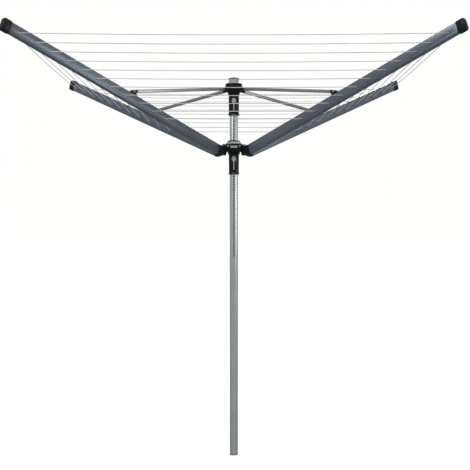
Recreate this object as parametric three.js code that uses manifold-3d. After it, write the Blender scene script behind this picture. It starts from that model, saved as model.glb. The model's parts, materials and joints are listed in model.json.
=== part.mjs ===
// Rotary clothesline: a slotted mast with two sliding hubs, four arms that fold up like an umbrella,
// their struts and one continuous line. Millimetres, +Z up, origin at the centre of the mast's foot.
// The levers face -Y.
import * as THREE from "three";
import { mergeVertices } from "three/addons/utils/BufferGeometryUtils.js";
import Module from "manifold-3d";

const wasm = await Module();
wasm.setup();

// Mast
const mastRadius = 22.5;
const mastWall = 2;
const mastHeight = 2046.5; // top end of the tube
const mastSides = 24;
const grooveWidth = 12; // shallow key groove down the front
const grooveDepth = 1.2;
const footFlange = 4;
const plugLength = 26;
const latchHoleRadius = 4.2;
const latchHolePitch = 14.3;
const latchHoleSpan = 957.5; // from the mast's top to the lowest hole
const latchHoleSides = 6;
const latchHoleMargin = 50; // clear of the mast's top
const capOverhang = 9.5;
const capFoot = 4; // cap's base beyond the tube
const capHeight = 12;

// Fits
const slideFit = 0.8; // hub sleeve round the mast, on the radius
const turnFit = 0.5; // ring round a sleeve, on the radius
const seatGap = 0.3; // pieces that rest on each other
const pinFit = 0.3; // pin in its hole, on the radius
const cheekFit = 0.6; // lug between two cheeks, each side
const weld = 1; // how far joined bodies run into each other
const over = 5; // how far a cut runs past what it cuts

// Hubs
const sleeveWall = 4.7;
const sleeveFlare = 2.6;
const flareHeight = 12;
const keyRibUp = 14; // key ribs start above the flare
const rimArchRadius = 9;
const chamferIn = 2;
const chamferUp = 3;
const coneBelowTop = 42.5; // upper hub's cone, below the mast's top when raised
const coneHeight = 43;
const upperSleeveLength = 151;
const crownRim = 19.5; // crown beyond the spigot
const crownHeight = 19.4;
const crownLip = 5; // upright rim at the top of the cone
const crownNotch = 10; // room for a strut's head, in from the crown's edge
const spigotAbove = 2; // spigot beyond the crown
const spigotWall = 3.2;
const neckHeight = 21.3;
const neckFoot = 13.2; // neck's base beyond the spigot
const lowerSleeveSkirt = 111; // below the carrier
const carrierBelowHinge = 39;
const carrierHeight = 54;
const carrierWall = 5;
const carrierSkirt = 12; // plain ring below the forks
const collarHeight = 11.5;
const collarFoot = 15;
const collarRim = 9;
const gussetDepth = 13.5; // blocks between the forks, out from the carrier ring
const gussetHalf = 20;
const gussetTopDrop = 4;
const betweenArms = 45; // a gusset's azimuth back from its arm's
const plateHeight = 12; // blank plate on the front block
const plateThickness = 1.2;
const plateMargin = 1;
const plateRise = 4; // its top edge above the hinge pins
const topFlangeHeight = 7;
const topFlangeLip = 6;
const hubSides = 24;

// Arms
const armAzimuths = [45, 135, 225, 315];
const armTilt = 20.2; // degrees above level when open
const armHingeOut = 28.5; // hinge pins beyond the carrier ring
const hubSpacing = 311; // between the two levels of pivots when open
const armDrop = 40; // from the hinge line down to the profile's middle
const armHeight = 57;
const armWidth = 26;
const armWall = 2;
const railWidth = 15; // narrow rib along the top of the profile
const railHeight = 13;
const shoulderDrop = 5; // slope from the rail down to the side
const armFootRise = 8; // rounded foot of the section
const armStart = 55;
const armEnd = 1448;
const armCapLength = 43;
const armCapLip = 2.5;
const armPlugLength = 26;
const forkWeb = 3; // space behind a fitting's eye
const fittingWidth = 24;
const fittingEye = 13;
const armPinRadius = 4;
const armPinHead = 7;
const armCheek = 5;
const armCheekReach = 14;
const forkTopDrop = 1;

// Struts
const strutFoot = 692; // along the arm, from its hinge
const strutHeight = 16;
const strutWidth = 15;
const strutWall = 1.5;
const strutEndLength = 24;
const strutPlug = 24;
const crownPivotOut = 12; // beyond the crown
const crownPivotDrop = 12; // below the cone's top
const crownCheek = 4;
const bracketCheek = 3;
const bracketLength = 44;
const bracketBase = 2.2;
const strutPinRadius = 3;
const strutPinHead = 5.5;
const rivetHead = 6;
const pinHeadHeight = 2;
const crownEye = 9;
const crownLedge = 8; // the cheeks' top below the crown's
const bracketEye = 8;
const bracketFoot = 5; // height of the bracket's low ends

// Line
const lineDiameter = 3.5;
const lineRounds = 11;
const linePitch = 94.4; // along the arm
const lineFromTip = 44; // outermost hole, back from the arm's end
const lineDrop = 45; // holes below the hinge line
const lineHoleRadius = 3.2;
const lineHoleSides = 6;
const lineSides = 6;
const lineSag = 9; // outermost span
const lineSpanSteps = 2;
const knotRadius = 4.4;
const lineStandoff = 1; // bends just outside an arm's side
const lineTurnIn = 3; // turns just inside its wall
const lineEnd = 7.5; // ends of the line inside the last arm, from its middle

// Levers
const leverWidth = 28;
const leverThickness = 7;
const leverBehind = 4; // space between the sleeve and the lever
const leverAbovePivot = 13;
const leverFootCorner = 8;
const leverTopCorner = 5;
const latchBelowPivot = 34;
const leverBelowLatch = 42;
const leverPinRadius = 2;
const leverEar = 4;
const leverEarHalf = 8;
const latchRadius = 2.6;
const latchTipGap = 0.4; // nose to the bottom of the groove
const latchBackGap = 0.6; // its back to the lever
const lowerLatchUp = 59; // latches above their sleeves' lower ends
const upperLatchUp = 51;
const springRadius = 3;
const springWire = 0.6;
const springTurns = 3;
const springTurnSteps = 7;
const springEndGap = 0.4;
const springSideGap = 0.6;
const springPocket = 1; // pocket past the lever's middle
const springAbovePivot = 7;
const inlayDepth = 1.2;
const inlayDisc = 12; // half the disc's width
const inlayDiscHeight = 14.5;
const inlayStem = 3.2; // half the stem's width
const inlayDiscDrop = 9; // disc's centre below the pivot
const inlayStemFoot = 7; // stem's end above the lever's
const inlayProud = 0.4;

const rad = THREE.MathUtils.degToRad;

// Radii that follow from the mast
const mastBore = mastRadius + slideFit;
const sleeveRadius = mastBore + sleeveWall;
const capRadius = mastRadius + capOverhang;
const spigotRadius = mastBore + spigotWall;
const spigotClear = spigotRadius + seatGap;
const crownRadius = spigotRadius + crownRim;
const neckBaseRadius = spigotClear + neckFoot;
const crownPivotRadius = crownRadius + crownPivotOut;
const topFlangeRadius = sleeveRadius + topFlangeLip;
const carrierBore = sleeveRadius + turnFit;
const carrierRadius = carrierBore + carrierWall;
const gussetReach = carrierRadius + gussetDepth;
const armHingeRadius = carrierRadius + armHingeOut;

// Heights, down from the mast's top
const coneTop = mastHeight - coneBelowTop;
const coneBottom = coneTop - coneHeight;
const crownBottom = coneTop + turnFit;
const crownTop = crownBottom + crownHeight;
const spigotTop = coneTop + crownHeight + spigotAbove;
const upperSleeveBottom = coneTop - upperSleeveLength;
const crownPivotHeight = coneTop - crownPivotDrop;
const armHingeHeight = crownPivotHeight - hubSpacing;
const carrierBottom = armHingeHeight - carrierBelowHinge;
const carrierTop = carrierBottom + carrierHeight;
const collarBottom = carrierTop + seatGap;
const lowerFlangeBottom = collarBottom + collarHeight + turnFit;
const lowerSleeveBottom = carrierBottom - lowerSleeveSkirt;
const latchHoleFirst = mastHeight - latchHoleSpan;
const lineOuter = armEnd - lineFromTip;
const latchHoleCount = Math.floor((latchHoleSpan - latchHoleMargin) / latchHolePitch) + 1;
const holeNear = (z) =>
  latchHoleFirst + latchHolePitch * Math.round((z - latchHoleFirst) / latchHolePitch);
const lowerLatchHeight = holeNear(lowerSleeveBottom + lowerLatchUp);
const upperLatchHeight = holeNear(upperSleeveBottom + upperLatchUp);

const finish = (color, roughness, metalness) => () =>
  new THREE.MeshStandardMaterial({ color, roughness, metalness });
const blackPlastic = finish(0x1d1f21, 0.5, 0);
const galvanised = finish(0xb4bac0, 0.35, 0.9);
const armPaint = finish(0x5f656d, 0.5, 0.4);
const strutPaint = finish(0x707672, 0.45, 0.4);
const brightSteel = finish(0xa8adad, 0.3, 0.9);
const capGrey = finish(0x474a4b, 0.55, 0);
const silverPlastic = finish(0xaab0b4, 0.4, 0.3);
const inlayGrey = finish(0x9aa79c, 0.5, 0);
const lineGrey = finish(0xc4c8cb, 0.6, 0);

// ---- solids ----

function solid(geometry) {
  const bare = geometry.clone();
  bare.deleteAttribute("normal");
  bare.deleteAttribute("uv");
  const merged = mergeVertices(bare, 1e-4);
  return new wasm.Manifold(
    new wasm.Mesh({
      numProp: 3,
      vertProperties: merged.attributes.position.array,
      triVerts: new Uint32Array(merged.index.array),
    }),
  );
}

function surface(body) {
  const data = body.getMesh();
  return new THREE.BufferGeometry()
    .setAttribute("position", new THREE.BufferAttribute(new Float32Array(data.vertProperties), 3))
    .setIndex(new THREE.BufferAttribute(new Uint32Array(data.triVerts), 1));
}

function box(x0, x1, y0, y1, z0, z1) {
  const g = new THREE.BoxGeometry(x1 - x0, y1 - y0, z1 - z0);
  return solid(g.translate((x0 + x1) / 2, (y0 + y1) / 2, (z0 + z1) / 2));
}

// A cylinder along Y, centred at x, z.
function crossPin(radius, y0, y1, x, z, sides = 10) {
  const g = new THREE.CylinderGeometry(radius, radius, y1 - y0, sides);
  return solid(g.translate(x, (y0 + y1) / 2, z));
}

// A closed profile of [radius, height] pairs turned round the mast axis; it runs up the outside.
function turned(profile, sides = hubSides) {
  const points = [...profile, profile[0]].map(([r, z]) => new THREE.Vector2(r, z));
  return solid(new THREE.LatheGeometry(points, sides).rotateX(Math.PI / 2));
}

// An outline in the x, z plane, as thick as width and centred on y = 0.
function sidePlate(outline, width, holes = []) {
  const shape = new THREE.Shape(outline.map(([x, z]) => new THREE.Vector2(x, z)));
  for (const hole of holes) shape.holes.push(hole);
  const g = new THREE.ExtrudeGeometry(shape, { depth: width, bevelEnabled: false, curveSegments: 6 });
  return solid(g.rotateX(Math.PI / 2).translate(0, width / 2, 0));
}

const alongX = new THREE.Matrix4().makeBasis(
  new THREE.Vector3(0, 1, 0),
  new THREE.Vector3(0, 0, 1),
  new THREE.Vector3(1, 0, 0),
);

// A section in the y, z plane drawn out from x0 to x1.
function drawnOut(section, x0, x1, inner) {
  const shape = new THREE.Shape(section.map(([y, z]) => new THREE.Vector2(y, z)));
  if (inner) shape.holes.push(new THREE.Path(inner.map(([y, z]) => new THREE.Vector2(y, z))));
  const g = new THREE.ExtrudeGeometry(shape, { depth: x1 - x0, bevelEnabled: false });
  return solid(g.applyMatrix4(alongX).translate(x0, 0, 0));
}

function arc(cx, cz, r, fromDeg, toDeg, steps) {
  return Array.from({ length: steps + 1 }, (_, i) => {
    const a = rad(fromDeg + ((toDeg - fromDeg) * i) / steps);
    return [cx + r * Math.cos(a), cz + r * Math.sin(a)];
  });
}

// A section with mirrored sides: half runs up the +y side from the bottom.
const mirrored = (half) => [...half, ...half.map(([y, z]) => [-y, z]).reverse()];

const turnedBy = (body, degrees) => solid(surface(body).rotateZ(rad(degrees)));

const shiftedY = (body, y) => solid(surface(body).translate(0, y, 0));

function part(name, body, material) {
  const mesh = new THREE.Mesh(surface(body), material());
  mesh.name = name;
  return mesh;
}

// ---- mast ----

function mastTube() {
  const half = grooveWidth / 2;
  const edge = Math.asin(half / mastRadius);
  const shape = new THREE.Shape();
  shape.moveTo(half, -mastRadius * Math.cos(edge));
  for (let i = 1; i < mastSides; i++) {
    const a = -Math.PI / 2 + edge + ((2 * Math.PI - 2 * edge) * i) / mastSides;
    shape.lineTo(mastRadius * Math.cos(a), mastRadius * Math.sin(a));
  }
  shape.lineTo(-half, -mastRadius * Math.cos(edge));
  shape.lineTo(-half, -mastRadius + grooveDepth);
  shape.lineTo(half, -mastRadius + grooveDepth);
  const bore = new THREE.Path();
  const inner = mastRadius - mastWall;
  const grooveBack = mastRadius - grooveDepth - mastWall;
  const innerEdge = Math.acos(grooveBack / inner);
  bore.moveTo(inner * Math.sin(innerEdge), -grooveBack);
  const innerSides = mastSides - 2;
  for (let i = 1; i <= innerSides; i++) {
    const a = -Math.PI / 2 + innerEdge + ((2 * Math.PI - 2 * innerEdge) * i) / innerSides;
    bore.lineTo(inner * Math.cos(a), inner * Math.sin(a));
  }
  shape.holes.push(bore);
  const bottom = footFlange + seatGap;
  const wall = new THREE.ExtrudeGeometry(shape, { depth: mastHeight - bottom, bevelEnabled: false });
  let tube = solid(wall.translate(0, 0, bottom));
  const holeBack = -mastRadius + grooveDepth + mastWall + over;
  for (let i = 0; i < latchHoleCount; i++) {
    const z = latchHoleFirst + i * latchHolePitch;
    const hole = crossPin(latchHoleRadius, -mastRadius - over, holeBack, 0, z, latchHoleSides);
    tube = tube.subtract(hole);
  }
  return tube;
}

const plugRadius = mastRadius - grooveDepth - mastWall - seatGap;

function footPlug() {
  return turned([
    [0, 0],
    [mastRadius, 0],
    [mastRadius, footFlange],
    [plugRadius, footFlange],
    [plugRadius, footFlange + plugLength],
    [0, footFlange + plugLength],
  ]);
}

function mastCap() {
  const base = mastHeight + seatGap;
  const top = base + capHeight;
  return turned([
    [0, base - plugLength],
    [plugRadius, base - plugLength],
    [plugRadius, base],
    [mastRadius + capFoot, base],
    [capRadius, base + capHeight * 0.3],
    [capRadius, base + capHeight * 0.45],
    [capRadius * 0.72, base + capHeight * 0.8],
    [capRadius * 0.4, top],
    [0, top],
  ]);
}

// ---- hubs ----

// The rib that runs in the mast's groove.
function keyRib(bottom, top) {
  const back = mastRadius - grooveDepth + slideFit / 2;
  const half = grooveWidth / 2 - slideFit;
  return box(-half, half, -mastBore - weld, -back, bottom, top);
}

// Two ears that carry a lever's pin.
function leverEars(latchHeight) {
  const pivot = leverPivot(latchHeight);
  const reach = pivot.y - leverThickness / 2;
  const inside = leverWidth / 2 + cheekFit;
  const root = Math.sqrt(sleeveRadius ** 2 - (inside + leverEar) ** 2) - weld;
  const ears = [inside, -inside - leverEar].map((x) =>
    box(x, x + leverEar, reach, -root, pivot.z - leverEarHalf, pivot.z + leverEarHalf),
  );
  const bore = leverBore(latchHeight, leverPinRadius + pinFit);
  return ears[0].add(ears[1]).subtract(bore);
}

const leverPivot = (latchHeight) => ({
  y: -sleeveRadius - leverBehind - leverThickness / 2,
  z: latchHeight + latchBelowPivot,
});

function leverBore(latchHeight, radius, reach = leverWidth / 2 + cheekFit + leverEar + over) {
  const { y, z } = leverPivot(latchHeight);
  const g = new THREE.CylinderGeometry(radius, radius, 2 * reach, 12);
  return solid(g.rotateZ(Math.PI / 2).translate(0, y, z));
}

const latchBore = (latchHeight) =>
  crossPin(latchRadius + pinFit, -sleeveRadius - over, -mastRadius + over, 0, latchHeight, 12);

function keyedSleeve(profile, bottom, top, latchHeight) {
  return turned(profile)
    .add(keyRib(bottom, top))
    .add(leverEars(latchHeight))
    .subtract(latchBore(latchHeight));
}

// An arched cut-out in the front of a sleeve's lower rim.
const rimArch = (bottom) =>
  crossPin(rimArchRadius, -sleeveRadius - sleeveFlare - over, -mastRadius, 0, bottom, 20);

function upperSleeve() {
  const profile = [
    [mastBore, upperSleeveBottom],
    [sleeveRadius + sleeveFlare, upperSleeveBottom],
    [sleeveRadius, upperSleeveBottom + flareHeight],
    [sleeveRadius, coneBottom],
    [crownRadius - 1, coneTop - crownLip],
    [crownRadius, coneTop],
    [spigotRadius, coneTop],
    [spigotRadius, spigotTop],
    [mastBore, spigotTop],
  ];
  const sleeve = keyedSleeve(profile, upperSleeveBottom + keyRibUp, coneTop, upperLatchHeight);
  return sleeve.subtract(rimArch(upperSleeveBottom));
}

function crown() {
  const inner = spigotRadius + turnFit;
  let ring = turned([
    [inner, crownBottom],
    [crownRadius - chamferIn, crownBottom],
    [crownRadius, crownBottom + chamferUp],
    [crownRadius, crownTop - chamferUp],
    [crownRadius - chamferIn, crownTop],
    [inner, crownTop],
  ]);
  const slot = strutWidth / 2 + cheekFit;
  const outer = slot + crownCheek;
  const notchBack = crownRadius - crownNotch;
  const cutEnd = crownPivotRadius + crownEye + over;
  const notch = box(notchBack, cutEnd, -slot, slot, crownBottom - over, crownTop + over);
  const outline = [
    [crownRadius - 8, crownBottom],
    [crownRadius + 2, crownBottom],
    [crownPivotRadius - 7, crownPivotHeight - 4],
    ...arc(crownPivotRadius, crownPivotHeight, crownEye, 215, 380, 8),
    [crownRadius - 1, crownTop - crownLedge],
    [crownRadius - 8, crownTop - crownLedge],
  ];
  const plate = sidePlate(outline, 2 * outer).subtract(
    box(notchBack - over, cutEnd, -slot, slot, crownPivotHeight - crownEye - over, crownTop + over),
  );
  const head = (y0, y1) => crossPin(rivetHead, y0, y1, crownPivotRadius, crownPivotHeight);
  const heads = head(outer - weld, outer + pinHeadHeight).add(head(-outer - pinHeadHeight, weld - outer));
  for (const azimuth of armAzimuths) ring = ring.subtract(turnedBy(notch, azimuth));
  for (const azimuth of armAzimuths) ring = ring.add(turnedBy(plate.add(heads), azimuth));
  return ring;
}

function neck() {
  const base = crownTop + turnFit;
  const top = base + neckHeight - 1;
  const step = spigotTop + seatGap;
  return turned([
    [spigotClear, base],
    [neckBaseRadius, base],
    [neckBaseRadius - 1, base + 2.5],
    [spigotClear + 3.5, base + neckHeight * 0.36],
    [spigotClear - 0.5, base + neckHeight * 0.6],
    [spigotClear - 0.5, top],
    [mastBore, top],
    [mastBore, step],
    [spigotClear, step],
  ]);
}

function lowerSleeve() {
  const profile = [
    [mastBore, lowerSleeveBottom],
    [sleeveRadius + sleeveFlare - 1, lowerSleeveBottom],
    [sleeveRadius - 1, lowerSleeveBottom + flareHeight],
    [sleeveRadius, carrierBottom],
    [sleeveRadius, lowerFlangeBottom],
    [topFlangeRadius, lowerFlangeBottom],
    [topFlangeRadius, lowerFlangeBottom + topFlangeHeight - chamferIn],
    [topFlangeRadius - chamferIn, lowerFlangeBottom + topFlangeHeight],
    [mastBore, lowerFlangeBottom + topFlangeHeight],
  ];
  return keyedSleeve(
    profile,
    lowerSleeveBottom + keyRibUp,
    lowerFlangeBottom + topFlangeHeight,
    lowerLatchHeight,
  ).subtract(rimArch(lowerSleeveBottom));
}

function armCarrier() {
  let ring = turned([
    [carrierBore, carrierBottom],
    [carrierRadius - chamferIn, carrierBottom],
    [carrierRadius, carrierBottom + chamferUp],
    [carrierRadius, carrierTop - chamferUp],
    [carrierRadius - chamferIn, carrierTop],
    [carrierBore, carrierTop],
  ]);
  const slot = fittingWidth / 2 + cheekFit;
  const outer = slot + armCheek;
  const inside = carrierBore;
  const outline = [
    [inside, carrierBottom + carrierSkirt],
    [armHingeRadius - 4, armHingeHeight - armCheekReach],
    ...arc(armHingeRadius, armHingeHeight, armCheekReach, -80, 80, 8),
    [armHingeRadius - 8, carrierTop - forkTopDrop],
    [inside, carrierTop - forkTopDrop],
  ];
  const web = armHingeRadius - fittingEye - forkWeb;
  const cutEnd = armHingeRadius + armCheekReach + over;
  const room = box(web, cutEnd, -slot, slot, carrierBottom - over, carrierTop + over);
  const fork = sidePlate(outline, 2 * outer)
    .subtract(room)
    .subtract(crossPin(armPinRadius + pinFit, -outer - over, outer + over, armHingeRadius, armHingeHeight));
  const gusset = box(
    inside,
    gussetReach,
    -gussetHalf,
    gussetHalf,
    carrierBottom + carrierSkirt,
    carrierTop - gussetTopDrop,
  );
  for (const azimuth of armAzimuths) ring = ring.add(turnedBy(gusset, azimuth - betweenArms));
  for (const azimuth of armAzimuths) {
    ring = ring.subtract(turnedBy(room, azimuth)).add(turnedBy(fork, azimuth));
  }
  const bore = turned([
    [0, carrierBottom - over],
    [carrierBore, carrierBottom - over],
    [carrierBore, carrierTop + over],
    [0, carrierTop + over],
  ]);
  return ring.subtract(bore);
}

function collar() {
  return turned([
    [carrierBore, collarBottom],
    [carrierBore + collarFoot, collarBottom],
    [carrierBore + collarFoot, collarBottom + chamferUp],
    [carrierBore + collarRim, collarBottom + collarHeight],
    [carrierBore, collarBottom + collarHeight],
  ]);
}

// The blank plate on the front block of the carrier.
function frontPlate() {
  const back = -gussetReach - seatGap;
  const top = armHingeHeight + plateRise;
  const half = gussetHalf - plateMargin;
  return box(-half, half, back - plateThickness, back, top - plateHeight, top);
}

// ---- levers ----

function lever(latchHeight) {
  const { y, z } = leverPivot(latchHeight);
  const half = leverWidth / 2;
  const top = z + leverAbovePivot;
  const bottom = latchHeight - leverBelowLatch;
  const foot = leverFootCorner;
  const corner = leverTopCorner;
  const outline = [
    ...arc(half - foot, bottom + foot, foot, -90, 0, 4),
    ...arc(half - corner, top - corner, corner, 0, 90, 3),
    ...arc(corner - half, top - corner, corner, 90, 180, 3),
    ...arc(foot - half, bottom + foot, foot, 180, 270, 4),
  ];
  const plate = shiftedY(sidePlate(outline, leverThickness), y);
  const front = y - leverThickness / 2;
  const pocketRadius = springRadius + springWire + springSideGap;
  const pocket = crossPin(pocketRadius, y - springPocket, y + leverThickness, 0, z + springAbovePivot, 12);
  return plate
    .subtract(leverBore(latchHeight, leverPinRadius + pinFit))
    .subtract(pocket)
    .subtract(inlayBody(latchHeight, front - over, front + inlayDepth + seatGap, seatGap));
}

// The disc and stem let into a lever's face, from y0 to y1 and larger by grow.
function inlayBody(latchHeight, y0, y1, grow) {
  const discHeight = leverPivot(latchHeight).z - inlayDiscDrop;
  const disc = arc(0, 0, 1, 0, 360, 20)
    .slice(0, -1)
    .map(([x, z]) => [x * (inlayDisc + grow), discHeight + z * (inlayDiscHeight + grow)]);
  const stemBottom = latchHeight - leverBelowLatch + inlayStemFoot;
  const stem = box(-inlayStem - grow, inlayStem + grow, y0, y1, stemBottom - grow, discHeight);
  return shiftedY(sidePlate(disc, y1 - y0), (y0 + y1) / 2).add(stem);
}

function leverInlay(latchHeight) {
  const front = leverPivot(latchHeight).y - leverThickness / 2;
  return inlayBody(latchHeight, front - inlayProud, front + inlayDepth, 0);
}

const leverPin = (latchHeight) =>
  leverBore(latchHeight, leverPinRadius, leverWidth / 2 + leverEar + cheekFit);

// The latch's nose stands in the groove in front of its hole.
function latch(latchHeight) {
  const nose = -mastRadius + grooveDepth - latchTipGap;
  return crossPin(latchRadius, -sleeveRadius - leverBehind + latchBackGap, nose, 0, latchHeight, 12);
}

class Coil extends THREE.Curve {
  constructor(radius, turns, length) {
    super();
    Object.assign(this, { radius, turns, length });
  }
  getPoint(t) {
    const a = 2 * Math.PI * this.turns * t;
    return new THREE.Vector3(this.radius * Math.cos(a), this.length * t, this.radius * Math.sin(a));
  }
}

function leverSpring(latchHeight) {
  const { y, z } = leverPivot(latchHeight);
  const from = y - springPocket + springWire + springEndGap;
  const to = -sleeveRadius - springWire - springEndGap;
  const path = new Coil(springRadius, springTurns, to - from);
  const wire = new THREE.Shape(arc(0, 0, springWire, 0, 270, 3).map(([a, b]) => new THREE.Vector2(a, b)));
  const steps = springTurns * springTurnSteps;
  const g = new THREE.ExtrudeGeometry(wire, { steps, extrudePath: path, bevelEnabled: false });
  return solid(g.translate(0, from, z + springAbovePivot));
}

// ---- arms ----

// Outline of the arm's section, inset all round by a wall.
function armSection(inset) {
  const half = armWidth / 2 - inset;
  const rail = railWidth / 2 - inset;
  const top = armHeight / 2 - inset;
  const shoulder = armHeight / 2 - railHeight - inset;
  const bottom = -armHeight / 2 + inset;
  return mirrored([
    [half * 0.5, bottom],
    [half * 0.85, bottom + 2.5],
    [half, bottom + armFootRise],
    [half, shoulder - shoulderDrop],
    [rail, shoulder],
    [rail, top - 1.5],
    [rail - 1.5, top],
  ]).map(([y, z]) => [y, z - armDrop]);
}

const lineHoleAt = (round) => lineOuter - round * linePitch;

function armTube() {
  let tube = drawnOut(armSection(0), armStart, armEnd, armSection(armWall));
  for (let i = 0; i < lineRounds; i++) {
    const hole = crossPin(lineHoleRadius, -armWidth, armWidth, lineHoleAt(i), -lineDrop, lineHoleSides);
    tube = tube.subtract(hole);
  }
  return tube;
}

// A block that fills the arm's hollow from x0 to x1.
function armPlug(x0, x1) {
  const half = armWidth / 2 - armWall - seatGap;
  const top = armHeight / 2 - railHeight - armWall - shoulderDrop - seatGap;
  const bottom = -armHeight / 2 + armWall + armFootRise;
  return box(x0, x1, -half, half, bottom - armDrop, top - armDrop);
}

function armFitting() {
  const end = armStart - seatGap;
  const low = -armDrop - armHeight / 2;
  const high = -armDrop + armHeight / 2;
  const outline = [
    ...arc(0, 0, fittingEye, 75, 250, 9),
    [-6, low + 26],
    [2, low + 22],
    [14, low + 21],
    [end - 14, low + 4],
    [end, low - 1],
    [end, high - 2],
    [end - 22, high + 2],
  ];
  return sidePlate(outline, fittingWidth)
    .subtract(crossPin(armPinRadius + pinFit, -armWidth, armWidth, 0, 0))
    .add(armPlug(end - weld, end + armPlugLength));
}

function armCap() {
  const start = armEnd + seatGap;
  const half = armWidth / 2 + armCapLip;
  const tall = armHeight / 2 + armCapLip;
  const section = mirrored([
    [half - 6, -tall],
    [half, 6 - tall],
    [half, tall - 9],
    [half - 4, tall - 3],
    [half - 8, tall],
  ]).map(([y, z]) => [y, z - armDrop]);
  return drawnOut(section, start, start + armCapLength).add(armPlug(start - armPlugLength, start + weld));
}

const armPin = () => headedPin(armPinRadius, armPinHead, fittingWidth / 2 + cheekFit + armCheek, 0, 0);

function headedPin(radius, head, halfGrip, x, z) {
  const reach = halfGrip + seatGap;
  return crossPin(radius, -reach - weld, reach + weld, x, z)
    .add(crossPin(head, reach, reach + pinHeadHeight, x, z))
    .add(crossPin(head, -reach - pinHeadHeight, -reach, x, z));
}

function strutBracket() {
  const slot = strutWidth / 2 + cheekFit;
  const outer = slot + bracketCheek;
  const base = -armDrop + armHeight / 2 + seatGap;
  const x0 = strutFoot - bracketLength / 2;
  const cutTop = bracketEye + over;
  const outline = [
    [x0, base],
    [x0 + bracketLength, base],
    [x0 + bracketLength - 3, base + bracketFoot],
    ...arc(strutFoot, 0, bracketEye, 20, 160, 8),
    [x0 + 3, base + bracketFoot],
  ];
  return sidePlate(outline, 2 * outer)
    .subtract(box(x0 - over, x0 + bracketLength + over, -slot, slot, base + bracketBase, cutTop))
    .subtract(crossPin(strutPinRadius + pinFit, -outer - over, outer + over, strutFoot, 0));
}

const strutPin = () =>
  headedPin(strutPinRadius, strutPinHead, strutWidth / 2 + cheekFit + bracketCheek, strutFoot, 0);

// ---- struts: along x from the arm's bracket to the crown ----

const tilt = rad(armTilt);
const strutFootRadius = armHingeRadius + strutFoot * Math.cos(tilt);
const strutFootHeight = armHingeHeight + strutFoot * Math.sin(tilt);
const strutRun = strutFootRadius - crownPivotRadius;
const strutRise = crownPivotHeight - strutFootHeight;
const strutLength = Math.hypot(strutRun, strutRise);
const strutAngle = Math.atan2(strutRise, -strutRun);

function rectangle(width, height) {
  return mirrored([
    [width / 2, -height / 2],
    [width / 2, height / 2],
  ]);
}

function strutTube() {
  const inner = rectangle(strutWidth - 2 * strutWall, strutHeight - 2 * strutWall);
  return drawnOut(rectangle(strutWidth, strutHeight), strutEndLength, strutLength - strutEndLength, inner);
}

// An eye at x = 0 with a plug that enters the tube; bored where a pin passes.
function strutEnd(bored) {
  const r = strutHeight / 2;
  const end = strutEndLength - seatGap;
  const eye = sidePlate([...arc(0, 0, r, 90, 270, 9), [end, -r], [end, r]], strutWidth);
  const plugHeight = r - strutWall - seatGap;
  const plugWidth = strutWidth / 2 - strutWall - seatGap;
  const body = eye.add(box(end - weld, end + strutPlug, -plugWidth, plugWidth, -plugHeight, plugHeight));
  return bored ? body.subtract(crossPin(strutPinRadius + pinFit, -strutWidth, strutWidth, 0, 0)) : body;
}

// ---- line ----

// A curve through chosen points, one step to each.
class Route extends THREE.Curve {
  constructor(points) {
    super();
    this.points = points;
  }
  getPoint(t) {
    const at = t * (this.points.length - 1);
    const i = Math.min(Math.floor(at), this.points.length - 2);
    return this.points[i].clone().lerp(this.points[i + 1], at - i);
  }
  getPointAt(t) {
    return this.getPoint(t);
  }
  getTangentAt(t) {
    return this.getTangent(t);
  }
}

// A point of an arm's own frame, x along the arm and y across it, at the line holes' height.
function onArm(azimuth, along, across) {
  const r = armHingeRadius + along * Math.cos(tilt) + lineDrop * Math.sin(tilt);
  const z = armHingeHeight + along * Math.sin(tilt) - lineDrop * Math.cos(tilt);
  return new THREE.Vector3(r, across, z).applyAxisAngle(new THREE.Vector3(0, 0, 1), rad(azimuth));
}

function lineRoute() {
  const bend = armWidth / 2 + lineStandoff;
  const turn = armWidth / 2 - armWall - lineTurnIn;
  const last = armAzimuths[armAzimuths.length - 1];
  const [first, second] = armAzimuths;
  const outerSpan = onArm(first, lineOuter, bend).distanceTo(onArm(second, lineOuter, -bend));
  const points = [onArm(last, lineOuter, lineEnd)];
  for (let round = 0; round < lineRounds; round++) {
    const along = lineHoleAt(round);
    armAzimuths.forEach((azimuth, k) => {
      const before = armAzimuths[(k + armAzimuths.length - 1) % armAzimuths.length];
      const from = onArm(before, along, bend);
      const to = onArm(azimuth, along, -bend);
      const sag = lineSag * (from.distanceTo(to) / outerSpan) ** 2;
      points.push(from);
      for (let i = 1; i < lineSpanSteps; i++) {
        const t = i / lineSpanSteps;
        const p = from.clone().lerp(to, t);
        p.z -= 4 * sag * t * (1 - t);
        points.push(p);
      }
      points.push(to);
    });
    const next = lineHoleAt(round + 1);
    if (round + 1 < lineRounds) points.push(onArm(last, along, -turn), onArm(last, next, turn));
    else points.push(onArm(last, along, -lineEnd));
  }
  return points;
}

function clothesline() {
  const around = arc(0, 0, lineDiameter / 2, 0, 360, lineSides).slice(0, -1);
  const section = new THREE.Shape(around.map(([a, b]) => new THREE.Vector2(a, b)));
  const points = lineRoute();
  const options = { steps: points.length - 1, extrudePath: new Route(points), bevelEnabled: false };
  return solid(new THREE.ExtrudeGeometry(section, options));
}

// The knots that hold the line's two ends inside the last arm.
function lineKnot(along, side) {
  const y = side * (lineEnd - seatGap - knotRadius);
  return solid(new THREE.SphereGeometry(knotRadius, 8, 6).translate(along, y, -lineDrop));
}

// ---- assembly ----

const clothesDryer = new THREE.Group();

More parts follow.
